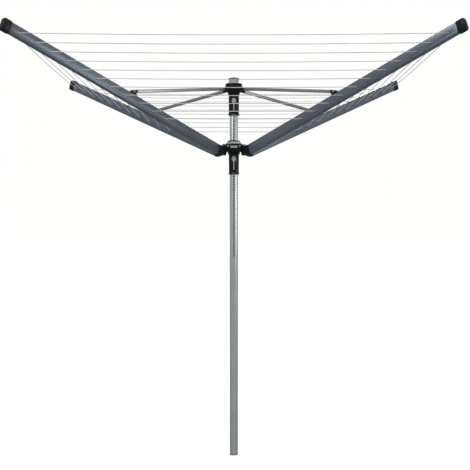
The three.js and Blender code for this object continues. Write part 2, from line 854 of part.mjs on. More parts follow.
clothesDryer.add(part("mast_tube", mastTube(), galvanised));
clothesDryer.add(part("mast_foot_plug", footPlug(), blackPlastic));
clothesDryer.add(part("mast_cap", mastCap(), capGrey));
clothesDryer.add(part("upper_sleeve", upperSleeve(), blackPlastic));
clothesDryer.add(part("upper_neck", neck(), silverPlastic));
clothesDryer.add(part("crown", crown(), blackPlastic));
clothesDryer.add(part("lower_sleeve", lowerSleeve(), blackPlastic));
clothesDryer.add(part("arm_carrier", armCarrier(), blackPlastic));
clothesDryer.add(part("carrier_collar", collar(), silverPlastic));
clothesDryer.add(part("carrier_plate", frontPlate(), silverPlastic));

const latchHeights = { upper: upperLatchHeight, lower: lowerLatchHeight };
for (const [hub, height] of Object.entries(latchHeights)) {
  clothesDryer.add(part(hub + "_lever", lever(height), blackPlastic));
  clothesDryer.add(part(hub + "_lever_inlay", leverInlay(height), inlayGrey));
  clothesDryer.add(part(hub + "_lever_pin", leverPin(height), brightSteel));
  clothesDryer.add(part(hub + "_lever_spring", leverSpring(height), brightSteel));
  clothesDryer.add(part(hub + "_latch", latch(height), brightSteel));
}

armAzimuths.forEach((azimuth, k) => {
  const number = k + 1;
  const side = new THREE.Group();
  side.rotation.z = rad(azimuth);

  const pin = part("arm_pin_" + number, armPin(), brightSteel);
  pin.position.set(armHingeRadius, 0, armHingeHeight);
  side.add(pin);

  const arm = new THREE.Group();
  arm.position.set(armHingeRadius, 0, armHingeHeight);
  arm.rotation.y = -tilt;
  arm.add(part("arm_tube_" + number, armTube(), armPaint));
  arm.add(part("arm_fitting_" + number, armFitting(), blackPlastic));
  arm.add(part("arm_cap_" + number, armCap(), blackPlastic));
  arm.add(part("strut_bracket_" + number, strutBracket(), blackPlastic));
  arm.add(part("strut_pin_" + number, strutPin(), brightSteel));
  if (number === armAzimuths.length) {
    arm.add(part("line_knot_outer", lineKnot(lineHoleAt(0), 1), lineGrey));
    arm.add(part("line_knot_inner", lineKnot(lineHoleAt(lineRounds - 1), -1), lineGrey));
  }
  side.add(arm);

  const strut = new THREE.Group();
  strut.position.set(strutFootRadius, 0, strutFootHeight);
  strut.rotation.y = -strutAngle;
  strut.add(part("strut_tube_" + number, strutTube(), strutPaint));
  strut.add(part("strut_foot_" + number, strutEnd(true), blackPlastic));
  const head = part("strut_head_" + number, strutEnd(false), blackPlastic);
  head.rotation.y = Math.PI;
  head.position.x = strutLength;
  strut.add(head);
  side.add(strut);

  clothesDryer.add(side);
});

clothesDryer.add(part("clothesline", clothesline(), lineGrey));

export default clothesDryer;
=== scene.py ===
import json
import math
import bpy
from mathutils import Matrix, Vector


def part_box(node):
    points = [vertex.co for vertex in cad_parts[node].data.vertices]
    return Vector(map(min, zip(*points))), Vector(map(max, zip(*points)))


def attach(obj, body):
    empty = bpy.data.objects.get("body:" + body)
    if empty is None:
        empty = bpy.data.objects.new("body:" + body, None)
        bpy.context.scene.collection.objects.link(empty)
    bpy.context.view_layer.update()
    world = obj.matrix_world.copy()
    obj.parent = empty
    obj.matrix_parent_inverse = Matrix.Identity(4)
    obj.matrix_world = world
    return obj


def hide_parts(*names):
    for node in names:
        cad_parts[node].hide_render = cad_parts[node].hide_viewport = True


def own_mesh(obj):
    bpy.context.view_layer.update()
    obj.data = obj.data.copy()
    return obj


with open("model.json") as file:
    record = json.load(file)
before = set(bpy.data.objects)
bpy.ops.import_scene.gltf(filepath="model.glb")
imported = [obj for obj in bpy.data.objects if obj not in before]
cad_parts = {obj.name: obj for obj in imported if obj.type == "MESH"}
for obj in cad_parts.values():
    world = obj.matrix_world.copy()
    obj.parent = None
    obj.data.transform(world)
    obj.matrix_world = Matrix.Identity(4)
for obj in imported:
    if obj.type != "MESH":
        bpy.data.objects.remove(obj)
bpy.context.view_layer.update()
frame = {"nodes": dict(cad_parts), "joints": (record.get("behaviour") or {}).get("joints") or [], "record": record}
nodes = frame["nodes"]
joints = {j["name"]: j for j in frame["joints"]}
scene = bpy.context.scene

# Camera, floor and light
cameraSet = {"lens": 83.0, "distance": 5.917, "height": 1.236, "pitch": -0.344, "yaw": -0.06}
lightSet = {
    "backdrop": 1.0,
    "sky": 0.42,
    "floor": 0.32,
    "floorGlow": 0.88,
    "key": {"place": (-3.4, -4.4, 5.2), "size": 1.6, "watts": 120},
    "side": {"place": (4.4, -2.0, 2.2), "size": 1.6, "watts": 46},
    "back": {"place": (1.5, 4.8, 4.6), "size": 2.0, "watts": 90},
}


def makeCamera():
    data = bpy.data.cameras.new("camera")
    data.lens = cameraSet["lens"]
    data.sensor_width = 36.0
    data.clip_end = 200.0
    obj = bpy.data.objects.new("camera", data)
    scene.collection.objects.link(obj)
    obj.location = (0.0, -cameraSet["distance"], cameraSet["height"])
    tilt = math.radians(90.0 + cameraSet["pitch"])
    obj.rotation_euler = (tilt, 0.0, math.radians(cameraSet["yaw"]))
    scene.camera = obj


def makeLight(name, spec, target):
    data = bpy.data.lights.new(name, "AREA")
    data.shape = "DISK"
    data.size = spec["size"]
    data.energy = spec["watts"]
    obj = bpy.data.objects.new(name, data)
    scene.collection.objects.link(obj)
    obj.location = spec["place"]
    aim = Vector(target) - obj.location
    obj.rotation_euler = aim.to_track_quat("-Z", "Y").to_euler()


# A strength with one value where the camera looks straight at it and another for the light it gives.
def splitStrength(tree, given, looked):
    path = tree.nodes.new("ShaderNodeLightPath")
    strength = tree.nodes.new("ShaderNodeMix")
    strength.inputs["A"].default_value = given
    strength.inputs["B"].default_value = looked
    tree.links.new(path.outputs["Is Camera Ray"], strength.inputs["Factor"])
    return strength.outputs["Result"]


def makeFloor():
    bpy.ops.object.select_all(action="DESELECT")
    bpy.ops.mesh.primitive_plane_add(size=160.0, location=(0.0, 0.0, -0.0005))
    floor = bpy.context.object
    floor.name = "studio_floor"
    paint = bpy.data.materials.new("studioWhite")
    paint.use_nodes = True
    tree = paint.node_tree
    bsdf = tree.nodes["Principled BSDF"]
    grey = lightSet["floor"]
    bsdf.inputs["Base Color"].default_value = (grey, grey, grey, 1.0)
    bsdf.inputs["Roughness"].default_value = 0.9
    bsdf.inputs["Specular IOR Level"].default_value = 0.1
    glow = tree.nodes.new("ShaderNodeEmission")
    glow.inputs["Color"].default_value = (1.0, 1.0, 0.99, 1.0)
    tree.links.new(splitStrength(tree, 0.0, lightSet["floorGlow"]), glow.inputs["Strength"])
    both = tree.nodes.new("ShaderNodeAddShader")
    tree.links.new(bsdf.outputs["BSDF"], both.inputs[0])
    tree.links.new(glow.outputs["Emission"], both.inputs[1])
    tree.links.new(both.outputs["Shader"], tree.nodes["Material Output"].inputs["Surface"])
    floor.data.materials.append(paint)


def makeStudio():
    world = bpy.data.worlds.new("studio")
    world.use_nodes = True
    tree = world.node_tree
    sky = tree.nodes["Background"]
    sky.inputs["Color"].default_value = (1.0, 1.0, 0.99, 1.0)
    strength = splitStrength(tree, lightSet["sky"], lightSet["backdrop"])
    tree.links.new(strength, sky.inputs["Strength"])
    scene.world = world
    scene.view_settings.view_transform = "Standard"
    for name in ("key", "side", "back"):
        makeLight(name + "Light", lightSet[name], (0.0, 0.0, 1.6))


makeCamera()
makeFloor()
makeStudio()
print("camera and studio ready")

# Shader groups, and the nodes they are built from
def newGroup(name, inputs, outputs):
    group = bpy.data.node_groups.new(name, "ShaderNodeTree")
    for label, kind, value in inputs:
        socket = group.interface.new_socket(label, in_out="INPUT", socket_type=kind)
        socket.default_value = value
    for label, kind in outputs:
        group.interface.new_socket(label, in_out="OUTPUT", socket_type=kind)
    return group, group.nodes.new("NodeGroupInput"), group.nodes.new("NodeGroupOutput")


def mathNode(tree, operation, a, b=None, clamp=False):
    node = tree.nodes.new("ShaderNodeMath")
    node.operation = operation
    node.use_clamp = clamp
    for i, value in enumerate((a, b)):
        if value is None:
            continue
        if isinstance(value, (int, float)):
            node.inputs[i].default_value = value
        else:
            tree.links.new(value, node.inputs[i])
    return node.outputs[0]


def noiseNode(tree, vector, scale, detail, rough=0.5):
    node = tree.nodes.new("ShaderNodeTexNoise")
    node.inputs["Detail"].default_value = detail
    node.inputs["Roughness"].default_value = rough
    if isinstance(scale, (int, float)):
        node.inputs["Scale"].default_value = scale
    else:
        tree.links.new(scale, node.inputs["Scale"])
    tree.links.new(vector, node.inputs["Vector"])
    return node.outputs["Fac"]


def rampNode(tree, value, stops):
    node = tree.nodes.new("ShaderNodeValToRGB")
    ramp = node.color_ramp
    while len(ramp.elements) < len(stops):
        ramp.elements.new(0.5)
    for element, (at, color) in zip(ramp.elements, stops):
        element.position = at
        element.color = color
    tree.links.new(value, node.inputs["Fac"])
    return node.outputs["Color"]


def mixColor(tree, factor, a, b, blend="MIX"):
    node = tree.nodes.new("ShaderNodeMix")
    node.data_type = "RGBA"
    node.blend_type = blend
    for key, value in ((0, factor), (6, a), (7, b)):  # the colour mix's own sockets
        if isinstance(value, (int, float, tuple)):
            node.inputs[key].default_value = value
        else:
            tree.links.new(value, node.inputs[key])
    return node.outputs[2]


# Moulded or sprayed skin: fine pits and broad soft clouds.
def makeGrainGroup():
    group, given, out = newGroup(
        "surfaceGrain",
        [("Size", "NodeSocketFloat", 900.0), ("Depth", "NodeSocketFloat", 0.1)],
        [("Mask", "NodeSocketFloat"), ("Cloud", "NodeSocketFloat"), ("Normal", "NodeSocketVector")],
    )
    coord = group.nodes.new("ShaderNodeTexCoord").outputs["Object"]
    fine = noiseNode(group, coord, given.outputs["Size"], 3.0, 0.6)
    broad = noiseNode(group, coord, 7.0, 4.0, 0.55)
    bump = group.nodes.new("ShaderNodeBump")
    bump.inputs["Distance"].default_value = 0.0004
    group.links.new(fine, bump.inputs["Height"])
    group.links.new(given.outputs["Depth"], bump.inputs["Strength"])
    group.links.new(fine, out.inputs["Mask"])
    group.links.new(broad, out.inputs["Cloud"])
    group.links.new(bump.outputs["Normal"], out.inputs["Normal"])
    return group


# Edges rubbed bare: where the rounded normal leaves the flat one.
def makeWearGroup():
    group, given, out = newGroup(
        "edgeWear",
        [("Width", "NodeSocketFloat", 0.002), ("Amount", "NodeSocketFloat", 0.5)],
        [("Mask", "NodeSocketFloat")],
    )
    bevel = group.nodes.new("ShaderNodeBevel")
    bevel.samples = 4
    group.links.new(given.outputs["Width"], bevel.inputs["Radius"])
    geometry = group.nodes.new("ShaderNodeNewGeometry")
    dot = group.nodes.new("ShaderNodeVectorMath")
    dot.operation = "DOT_PRODUCT"
    group.links.new(bevel.outputs["Normal"], dot.inputs[0])
    group.links.new(geometry.outputs["Normal"], dot.inputs[1])
    lifted = mathNode(group, "SUBTRACT", 1.0, dot.outputs["Value"])
    coord = group.nodes.new("ShaderNodeTexCoord").outputs["Object"]
    broken = noiseNode(group, coord, 60.0, 4.0, 0.65)
    picked = mathNode(group, "MULTIPLY", lifted, mathNode(group, "MULTIPLY", broken, 9.0))
    total = mathNode(group, "MULTIPLY", picked, given.outputs["Amount"], clamp=True)
    group.links.new(total, out.inputs["Mask"])
    return group


# Dust that settles on what faces up, in patches.
def makeDustGroup():
    group, given, out = newGroup(
        "settledDust", [("Amount", "NodeSocketFloat", 0.2)], [("Mask", "NodeSocketFloat")]
    )
    geometry = group.nodes.new("ShaderNodeNewGeometry")
    split = group.nodes.new("ShaderNodeSeparateXYZ")
    group.links.new(geometry.outputs["Normal"], split.inputs[0])
    up = mathNode(group, "POWER", mathNode(group, "MAXIMUM", split.outputs["Z"], 0.0), 1.6)
    coord = group.nodes.new("ShaderNodeTexCoord").outputs["Object"]
    patches = noiseNode(group, coord, 24.0, 5.0, 0.6)
    total = mathNode(group, "MULTIPLY", mathNode(group, "MULTIPLY", up, patches), given.outputs["Amount"])
    group.links.new(total, out.inputs["Mask"])
    return group


# Long fine lines, as drawing or brushing leaves them, across the stretched axis.
def makeDrawnGroup():
    group, given, out = newGroup(
        "drawnLines",
        [("Stretch", "NodeSocketVector", (1.0, 1.0, 0.01)), ("Depth", "NodeSocketFloat", 0.1)],
        [("Mask", "NodeSocketFloat"), ("Normal", "NodeSocketVector")],
    )
    coord = group.nodes.new("ShaderNodeTexCoord").outputs["Object"]
    scaled = group.nodes.new("ShaderNodeVectorMath")
    scaled.operation = "MULTIPLY"
    group.links.new(coord, scaled.inputs[0])
    group.links.new(given.outputs["Stretch"], scaled.inputs[1])
    lines = noiseNode(group, scaled.outputs["Vector"], 700.0, 2.0, 0.5)
    bump = group.nodes.new("ShaderNodeBump")
    bump.inputs["Distance"].default_value = 0.0002
    group.links.new(lines, bump.inputs["Height"])
    group.links.new(given.outputs["Depth"], bump.inputs["Strength"])
    group.links.new(lines, out.inputs["Mask"])
    group.links.new(bump.outputs["Normal"], out.inputs["Normal"])
    return group


grainGroup = makeGrainGroup()
wearGroup = makeWearGroup()
dustGroup = makeDustGroup()
drawnGroup = makeDrawnGroup()


def placeGroup(tree, group, **values):
    node = tree.nodes.new("ShaderNodeGroup")
    node.node_tree = group
    for label, value in values.items():
        node.inputs[label].default_value = value
    return node


def newMaterial(name, roughness, metallic=0.0, specular=0.5):
    mat = bpy.data.materials.new(name)
    mat.use_nodes = True
    bsdf = mat.node_tree.nodes["Principled BSDF"]
    bsdf.inputs["Roughness"].default_value = roughness
    bsdf.inputs["Metallic"].default_value = metallic
    bsdf.inputs["Specular IOR Level"].default_value = specular
    return mat, mat.node_tree, bsdf


white = (1.0, 1.0, 1.0, 1.0)
dustColor = (0.5, 0.49, 0.46, 1.0)


def shade(color, factor):
    return tuple(min(1.0, c * factor) for c in color[:3]) + (1.0,)


# Roughness that follows a mask, over a span above the smoothest.
def varyRoughness(tree, bsdf, mask, span, smoothest):
    rough = mathNode(tree, "MULTIPLY_ADD", mask, span)
    rough.node.inputs[2].default_value = smoothest
    tree.links.new(rough, bsdf.inputs["Roughness"])


# A coated or moulded finish: grain, clouded tone, rubbed edges and dust.
def coatedMaterial(name, look):
    mat, tree, bsdf = newMaterial(name, look["roughness"], look["metallic"], look["specular"])
    grain = placeGroup(tree, grainGroup, Size=look["grain"], Depth=look["depth"])
    base = look["color"]
    cloud = rampNode(
        tree,
        grain.outputs["Cloud"],
        [(0.3, shade(base, 1 - look["vary"])), (0.7, shade(base, 1 + look["vary"]))],
    )
    spots = rampNode(tree, grain.outputs["Mask"], [(0.35, shade(white, 0.86)), (0.6, white)])
    color = mixColor(tree, 0.6, cloud, spots, "MULTIPLY")
    wear = placeGroup(tree, wearGroup, Width=look["wearWidth"], Amount=look["wear"])
    color = mixColor(tree, wear.outputs["Mask"], color, look["worn"])
    dust = placeGroup(tree, dustGroup, Amount=look["dust"])
    color = mixColor(tree, dust.outputs["Mask"], color, dustColor)
    tree.links.new(color, bsdf.inputs["Base Color"])
    varyRoughness(tree, bsdf, grain.outputs["Mask"], 0.22, look["roughness"] - 0.11)
    tree.links.new(grain.outputs["Normal"], bsdf.inputs["Normal"])
    return mat


# A drawn metal: fine lines along the piece, dulled in patches.
def drawnMaterial(name, look):
    mat, tree, bsdf = newMaterial(name, look["roughness"], look["metallic"])
    lines = placeGroup(tree, drawnGroup, Stretch=look["stretch"], Depth=look["depth"])
    grain = placeGroup(tree, grainGroup, Size=260.0, Depth=0.02)
    base = look["color"]
    color = rampNode(tree, lines.outputs["Mask"], [(0.3, shade(base, 0.86)), (0.7, shade(base, 1.1))])
    dull = rampNode(tree, grain.outputs["Cloud"], [(0.35, shade(white, 0.82)), (0.65, white)])
    color = mixColor(tree, 0.7, color, dull, "MULTIPLY")
    wear = placeGroup(tree, wearGroup, Width=0.0012, Amount=look["wear"])
    color = mixColor(tree, wear.outputs["Mask"], color, look["worn"])
    tree.links.new(color, bsdf.inputs["Base Color"])
    varyRoughness(tree, bsdf, lines.outputs["Mask"], 0.25, look["roughness"] - 0.12)
    tree.links.new(lines.outputs["Normal"], bsdf.inputs["Normal"])
    return mat


blackLook = {
    "color": (0.008, 0.0095, 0.0105, 1.0), "roughness": 0.38, "metallic": 0.0, "specular": 0.26,
    "grain": 1500.0, "depth": 0.25, "vary": 0.18, "wear": 0.3, "wearWidth": 0.0012,
    "worn": (0.07, 0.075, 0.075, 1.0), "dust": 0.03,
}
armLook = {
    "color": (0.18, 0.21, 0.262, 1.0), "roughness": 0.34, "metallic": 0.4, "specular": 0.5,
    "grain": 2200.0, "depth": 0.2, "vary": 0.1, "wear": 0.3, "wearWidth": 0.0012,
    "worn": (0.4, 0.43, 0.46, 1.0), "dust": 0.04,
}
strutLook = dict(armLook, color=(0.36, 0.385, 0.37, 1.0), metallic=0.7, roughness=0.34, grain=1800.0)
capLook = dict(blackLook, color=(0.06, 0.064, 0.064, 1.0), roughness=0.55)
silverLook = dict(
    blackLook, color=(0.5, 0.545, 0.56, 1.0), roughness=0.36, worn=(0.65, 0.67, 0.67, 1.0), dust=0.05
)
inlayLook = dict(silverLook, color=(0.46, 0.54, 0.485, 1.0), roughness=0.5)
cordLook = dict(
    silverLook, color=(0.9, 0.91, 0.92, 1.0), roughness=0.5, grain=700.0, depth=0.5, dust=0.05, wear=0.0
)
tubeLook = {
    "color": (0.7, 0.76, 0.765, 1.0), "roughness": 0.36, "metallic": 0.6, "stretch": (1.0, 1.0, 0.012),
    "depth": 0.12, "wear": 0.3, "worn": (0.88, 0.9, 0.92, 1.0),
}
steelLook = dict(tubeLook, color=(0.5, 0.52, 0.51, 1.0), stretch=(1.0, 1.0, 1.0), roughness=0.3)

finishes = {
    "black_plastic": coatedMaterial("mouldedBlack", blackLook),
    "arm_coating": coatedMaterial("armPowderCoat", armLook),
    "strut_coating": coatedMaterial("strutPowderCoat", strutLook),
    "cap_grey": coatedMaterial("capGrey", capLook),
    "silver_plastic": coatedMaterial("silverPlastic", silverLook),
    "inlay_grey": coatedMaterial("inlayGrey", inlayLook),
    "line_cord": coatedMaterial("lineSkin", cordLook),
    "galvanised_tube": drawnMaterial("galvanisedTube", tubeLook),
    "bright_steel": drawnMaterial("zincSteel", steelLook),
}
slotOf = {s["node"]: s["material_slot"] for s in frame["record"]["subparts"]}
for node, obj in nodes.items():
    obj.data.materials.clear()
    obj.data.materials.append(finishes[slotOf[node]])
print("finishes ready:", len(finishes))

# What each piece rides on, and where the arms hinge
bodyOf = {node: body for body, listed in frame["record"]["behaviour"]["bodies"].items() for node in listed}
armSet = {"azimuths": (45.0, 135.0, 225.0, 315.0), "tilt": 20.2}
hingeSpot = joints["arm_1_lift"]["pos_m"]
hingeRadius = math.hypot(hingeSpot[0], hingeSpot[1])
hingeHeight = hingeSpot[2]


mergeWithin = 0.00001


def clearSelection():
    if bpy.context.object and bpy.context.object.mode != "OBJECT":
        bpy.ops.object.mode_set(mode="OBJECT")
    bpy.ops.object.select_all(action="DESELECT")


def makeActive(obj):
    clearSelection()
    obj.select_set(True)
    bpy.context.view_layer.objects.active = obj


def applyPlace():
    bpy.ops.object.transform_apply(location=True, rotation=True, scale=True)


# A profile traced point by point from one vertex, as by hand.
def traceProfile(name, points):
    clearSelection()
    bpy.ops.mesh.primitive_plane_add(size=0.004, location=points[0])
    obj = bpy.context.object
    obj.name = name
    bpy.ops.object.mode_set(mode="EDIT")
    bpy.ops.mesh.select_mode(type="VERT")
    bpy.ops.mesh.select_all(action="SELECT")
    bpy.ops.mesh.merge(type="CENTER")
    for a, b in zip(points, points[1:]):
        step = tuple(Vector(b) - Vector(a))
        bpy.ops.mesh.extrude_region_move(TRANSFORM_OT_translate={"value": step})
    bpy.ops.mesh.select_all(action="SELECT")
    return obj


def closeEdit(obj):
    bpy.ops.mesh.select_all(action="SELECT")
    bpy.ops.mesh.remove_doubles(threshold=mergeWithin)
    bpy.ops.mesh.normals_make_consistent(inside=False)
    bpy.ops.object.mode_set(mode="OBJECT")
    applyPlace()
    return obj


# A (radius, height) profile spun round the mast's axis; a closed one ends where it began.
def turnPiece(name, profile, sides=96):
    obj = traceProfile(name, [(r, 0.0, z) for r, z in profile])
    bpy.ops.mesh.spin(steps=sides, angle=math.tau, center=(0.0, 0.0, 0.0), axis=(0.0, 0.0, 1.0))
    return closeEdit(obj)


# An outline traced in one plane, filled and drawn out along that plane's normal.
def drawPiece(name, outline, start, end, along="y"):
    if along == "x":
        points, way = [(start, a, b) for a, b in outline], (end - start, 0.0, 0.0)
    else:
        points, way = [(a, start, b) for a, b in outline], (0.0, end - start, 0.0)
    obj = traceProfile(name, points)
    bpy.ops.mesh.edge_face_add()
    bpy.ops.mesh.select_all(action="SELECT")
    bpy.ops.mesh.extrude_region_move(TRANSFORM_OT_translate={"value": way})
    return closeEdit(obj)


def blockPiece(name, low, high):
    clearSelection()
    middle = (Vector(low) + Vector(high)) / 2
    size = Vector(high) - Vector(low)
    bpy.ops.mesh.primitive_cube_add(size=1.0, location=middle, scale=size)
    obj = bpy.context.object
    obj.name = name
    applyPlace()
    return obj


# A round bar from one point to another.
def barPiece(name, radius, start, end, sides=32):
    clearSelection()
    start, end = Vector(start), Vector(end)
    turn = (end - start).to_track_quat("Z", "Y").to_euler()
    bpy.ops.mesh.primitive_cylinder_add(
        vertices=sides, radius=radius, depth=(end - start).length, location=(start + end) / 2, rotation=turn
    )
    obj = bpy.context.object
    obj.name = name
    applyPlace()
    return obj


def applyModifier(obj, kind, **values):
    makeActive(obj)
    bpy.ops.object.modifier_add(type=kind)
    modifier = obj.modifiers[-1]
    for key, value in values.items():
        setattr(modifier, key, value)
    bpy.ops.object.modifier_apply(modifier=modifier.name)
    return obj


def roundEdges(obj, width, segments=3, sharper=30.0):
    return applyModifier(
        obj, "BEVEL", width=width, segments=segments, limit_method="ANGLE", angle_limit=math.radians(sharper)
    )


def removeObject(obj):
    clearSelection()
    obj.select_set(True)
    bpy.ops.object.delete()


def combine(obj, other, operation):
    applyModifier(obj, "BOOLEAN", object=other, operation=operation, solver="EXACT")
    removeObject(other)
    return obj


def carve(obj, cutter):
    return combine(obj, cutter, "DIFFERENCE")


def weldOn(obj, other):
    return combine(obj, other, "UNION")


# Moves a piece's mesh to its place, and leaves the object itself at the origin.
def placePiece(obj, matrix):
    obj.matrix_world = matrix
    makeActive(obj)
    applyPlace()
    return obj


def copyOf(obj, matrix):
    twin = obj.copy()
    twin.data = obj.data.copy()
    scene.collection.objects.link(twin)
    return placePiece(twin, matrix)


# Leaves edit mode on with just the faces that pass the test selected.
def selectFaces(obj, test):
    makeActive(obj)
    bpy.ops.object.mode_set(mode="EDIT")
    bpy.ops.mesh.select_mode(type="FACE")
    bpy.ops.mesh.select_all(action="DESELECT")
    bpy.ops.object.mode_set(mode="OBJECT")
    for face in obj.data.polygons:
        face.select = test(face)
    bpy.ops.object.mode_set(mode="EDIT")


def turnZ(degrees):
    return Matrix.Rotation(math.radians(degrees), 4, "Z")


def arcPoints(x, z, radius, fromDeg, toDeg, steps):
    spots = []
    for i in range(steps + 1):
        a = math.radians(fromDeg + (toDeg - fromDeg) * i / steps)
        spots.append((x + radius * math.cos(a), z + radius * math.sin(a)))
    return spots


# Smooths, names, finishes and hands over a piece that stands for one CAD node.
def finishPiece(obj, node, smooth=32.0):
    makeActive(obj)
    bpy.ops.object.mode_set(mode="EDIT")
    bpy.ops.mesh.select_all(action="SELECT")
    bpy.ops.mesh.remove_doubles(threshold=mergeWithin / 2)
    bpy.ops.object.mode_set(mode="OBJECT")
    bpy.ops.object.shade_smooth_by_angle(angle=math.radians(smooth))
    obj.name = node + "_body"
    obj.data.materials.clear()
    obj.data.materials.append(finishes[slotOf[node]])
    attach(obj, bodyOf[node])
    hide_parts(node)


# One modelled piece copied to all four arms; place puts its own frame at azimuth 0.
def finishFour(obj, stem, place):
    for k, azimuth in enumerate(armSet["azimuths"]):
        finishPiece(copyOf(obj, turnZ(azimuth) @ place), f"{stem}_{k + 1}")
    removeObject(obj)


# Mast
mastSet = {
    "sides": 128, "bore": 0.0193, "grooveHalf": 0.006, "grooveDepth": 0.0012,
    "holeRadius": 0.0042, "holePitch": 0.0143, "holeCount": 64, "firstHole": 0.9575,
    "plugRadius": 0.0187, "plugFit": 0.0003, "capHeight": 0.012,
}


def makeMast():
    low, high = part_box("mast_tube")
    radius = high.x
    bore = mastSet["bore"]
    profile = [(bore, low.z), (radius, low.z), (radius, high.z), (bore, high.z), (bore, low.z)]
    tube = turnPiece("mast", profile, mastSet["sides"])
    roundEdges(tube, 0.0004, 2, 60.0)
    half = mastSet["grooveHalf"]
    back = -radius + mastSet["grooveDepth"]
    groove = blockPiece("groove", (-half, -radius - 0.004, low.z - 0.01), (half, back, high.z + 0.01))
    roundEdges(groove, 0.0005, 2)
    carve(tube, groove)
    first = high.z - mastSet["firstHole"]
    hole = barPiece("hole", mastSet["holeRadius"], (0, -radius - 0.004, first), (0, -bore + 0.004, first), 20)
    applyModifier(
        hole, "ARRAY", count=mastSet["holeCount"], use_relative_offset=False,
        use_constant_offset=True, constant_offset_displace=(0.0, 0.0, mastSet["holePitch"]),
    )
    carve(tube, hole)
    finishPiece(tube, "mast_tube")


def makeFootPlug():
    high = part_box("mast_foot_plug")[1]
    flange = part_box("mast_tube")[0].z - mastSet["plugFit"]
    inner = mastSet["plugRadius"]
    foot = turnPiece(
        "foot",
        [(0, 0), (0.021, 0), (high.x, 0.0012), (high.x, flange - 0.0008), (high.x - 0.0008, flange),
         (inner, flange), (inner, 0.012), (inner - 0.0006, 0.0125), (inner - 0.0006, 0.015), (inner, 0.0155),
         (inner, high.z - 0.003), (inner - 0.003, high.z), (0.012, high.z), (0.012, 0.009), (0, 0.009)],
    )
    finishPiece(foot, "mast_foot_plug")


def makeMastCap():
    low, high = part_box("mast_cap")
    inner = mastSet["plugRadius"]
    base = high.z - mastSet["capHeight"]
    dome = [
        (0.0285, 0.0006), (0.0308, 0.0019), (0.0319, 0.0034), (0.032, 0.0046), (0.0312, 0.0062),
        (0.0288, 0.0078), (0.0245, 0.0094), (0.0188, 0.0107), (0.0125, 0.0115), (0.006, 0.0119), (0, 0.012),
    ]
    cap = turnPiece(
        "cap",
        [(0, low.z), (inner - 0.002, low.z), (inner, low.z + 0.003), (inner, base), (0.0262, base)]
        + [(r, base + z) for r, z in dome],
    )
    finishPiece(cap, "mast_cap", 50.0)


# Hubs: sleeves and levers
sleeveSet = {
    "bore": 0.0233, "radius": 0.028, "upperFlare": 0.0306, "lowerFlare": 0.0296, "flangeTall": 0.007,
    "spigot": 0.0265, "ribHalf": 0.0052, "ribFace": 0.0217, "archRadius": 0.009,
    "earHalf": 0.008, "earInside": 0.0146, "earOutside": 0.0186, "earRoot": 0.0199,
}
leverSet = {
    "half": 0.014, "foot": 0.008, "corner": 0.005, "pinRadius": 0.002, "latchRadius": 0.0026, "fit": 0.0003,
    "discHalf": 0.012, "discTall": 0.0145, "stemHalf": 0.0032, "grips": 3, "gripPitch": 0.0034,
    "seatRadius": 0.005, "springWire": 0.0006, "springTurns": 3, "springPressed": 0.7,
}
crownSet = {
    "depth": 0.0194, "gap": 0.0005, "bore": 0.027, "radius": 0.046, "slot": 0.0081, "cheek": 0.004,
    "eye": 0.009, "rivet": 0.006, "pivotRadius": 0.058, "pivotDrop": 0.0545,
}
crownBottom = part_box("crown")[1].z - crownSet["depth"]
strutPivot = (crownSet["pivotRadius"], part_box("mast_tube")[1].z - crownSet["pivotDrop"])


# Ears, key rib, latch bore and rim arch, which both sleeves have.
def fitSleeve(sleeve, hub, bottom, ribTop):
    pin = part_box(hub + "_lever_pin")
    pivot = (pin[0] + pin[1]) / 2
    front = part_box(hub + "_lever")[0].y
    half = sleeveSet["earHalf"]
    for side in (1, -1):
        xs = sorted((side * sleeveSet["earInside"], side * sleeveSet["earOutside"]))
        low, high = (xs[0], front, pivot.z - half), (xs[1], -sleeveSet["earRoot"], pivot.z + half)
        ear = blockPiece("ear", low, high)
        roundEdges(ear, 0.0012)
        weldOn(sleeve, ear)
    rib = sleeveSet["ribHalf"]
    ribBack = -sleeveSet["bore"] - 0.001
    weldOn(sleeve, blockPiece("key", (-rib, ribBack, bottom + 0.014), (rib, -sleeveSet["ribFace"], ribTop)))
    pinReach = sleeveSet["earOutside"] + 0.004
    bore = leverSet["pinRadius"] + leverSet["fit"]
    carve(sleeve, barPiece("bore", bore, (-pinReach, pivot.y, pivot.z), (pinReach, pivot.y, pivot.z)))
    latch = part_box(hub + "_latch")
    spot = (latch[0] + latch[1]) / 2
    bore = leverSet["latchRadius"] + leverSet["fit"]
    carve(sleeve, barPiece("bore", bore, (0, -0.034, spot.z), (0, -0.0175, spot.z)))
    carve(sleeve, barPiece("arch", sleeveSet["archRadius"], (0, -0.036, bottom), (0, -0.0225, bottom), 48))


def makeUpperSleeve():
    low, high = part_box("upper_sleeve")
    bottom, top = low.z, high.z
    rim = high.x
    cone = crownBottom - crownSet["gap"]
    bore, radius, flare = sleeveSet["bore"], sleeveSet["radius"], sleeveSet["upperFlare"]
    spigot = sleeveSet["spigot"]
    sleeve = turnPiece(
        "upperSleeve",
        [(bore, bottom), (flare - 0.0006, bottom), (flare, bottom + 0.0006), (flare, bottom + 0.0024),
         (flare - 0.0009, bottom + 0.0052), (flare - 0.0019, bottom + 0.0085), (radius, bottom + 0.012),
         (radius, cone - 0.062), (radius + 0.0007, cone - 0.061), (radius + 0.0007, cone - 0.058),
         (radius, cone - 0.057), (radius, cone - 0.043), (radius + 0.0012, cone - 0.040),
         (rim - 0.0045, cone - 0.0105), (rim - 0.0018, cone - 0.0062), (rim, cone - 0.0048),
         (rim, cone - 0.0008), (rim - 0.0008, cone), (spigot, cone), (spigot, top - 0.0006),
         (spigot - 0.0006, top), (bore, top), (bore, bottom)],
    )
    fitSleeve(sleeve, "upper", bottom, cone)
    finishPiece(sleeve, "upper_sleeve", 40.0)


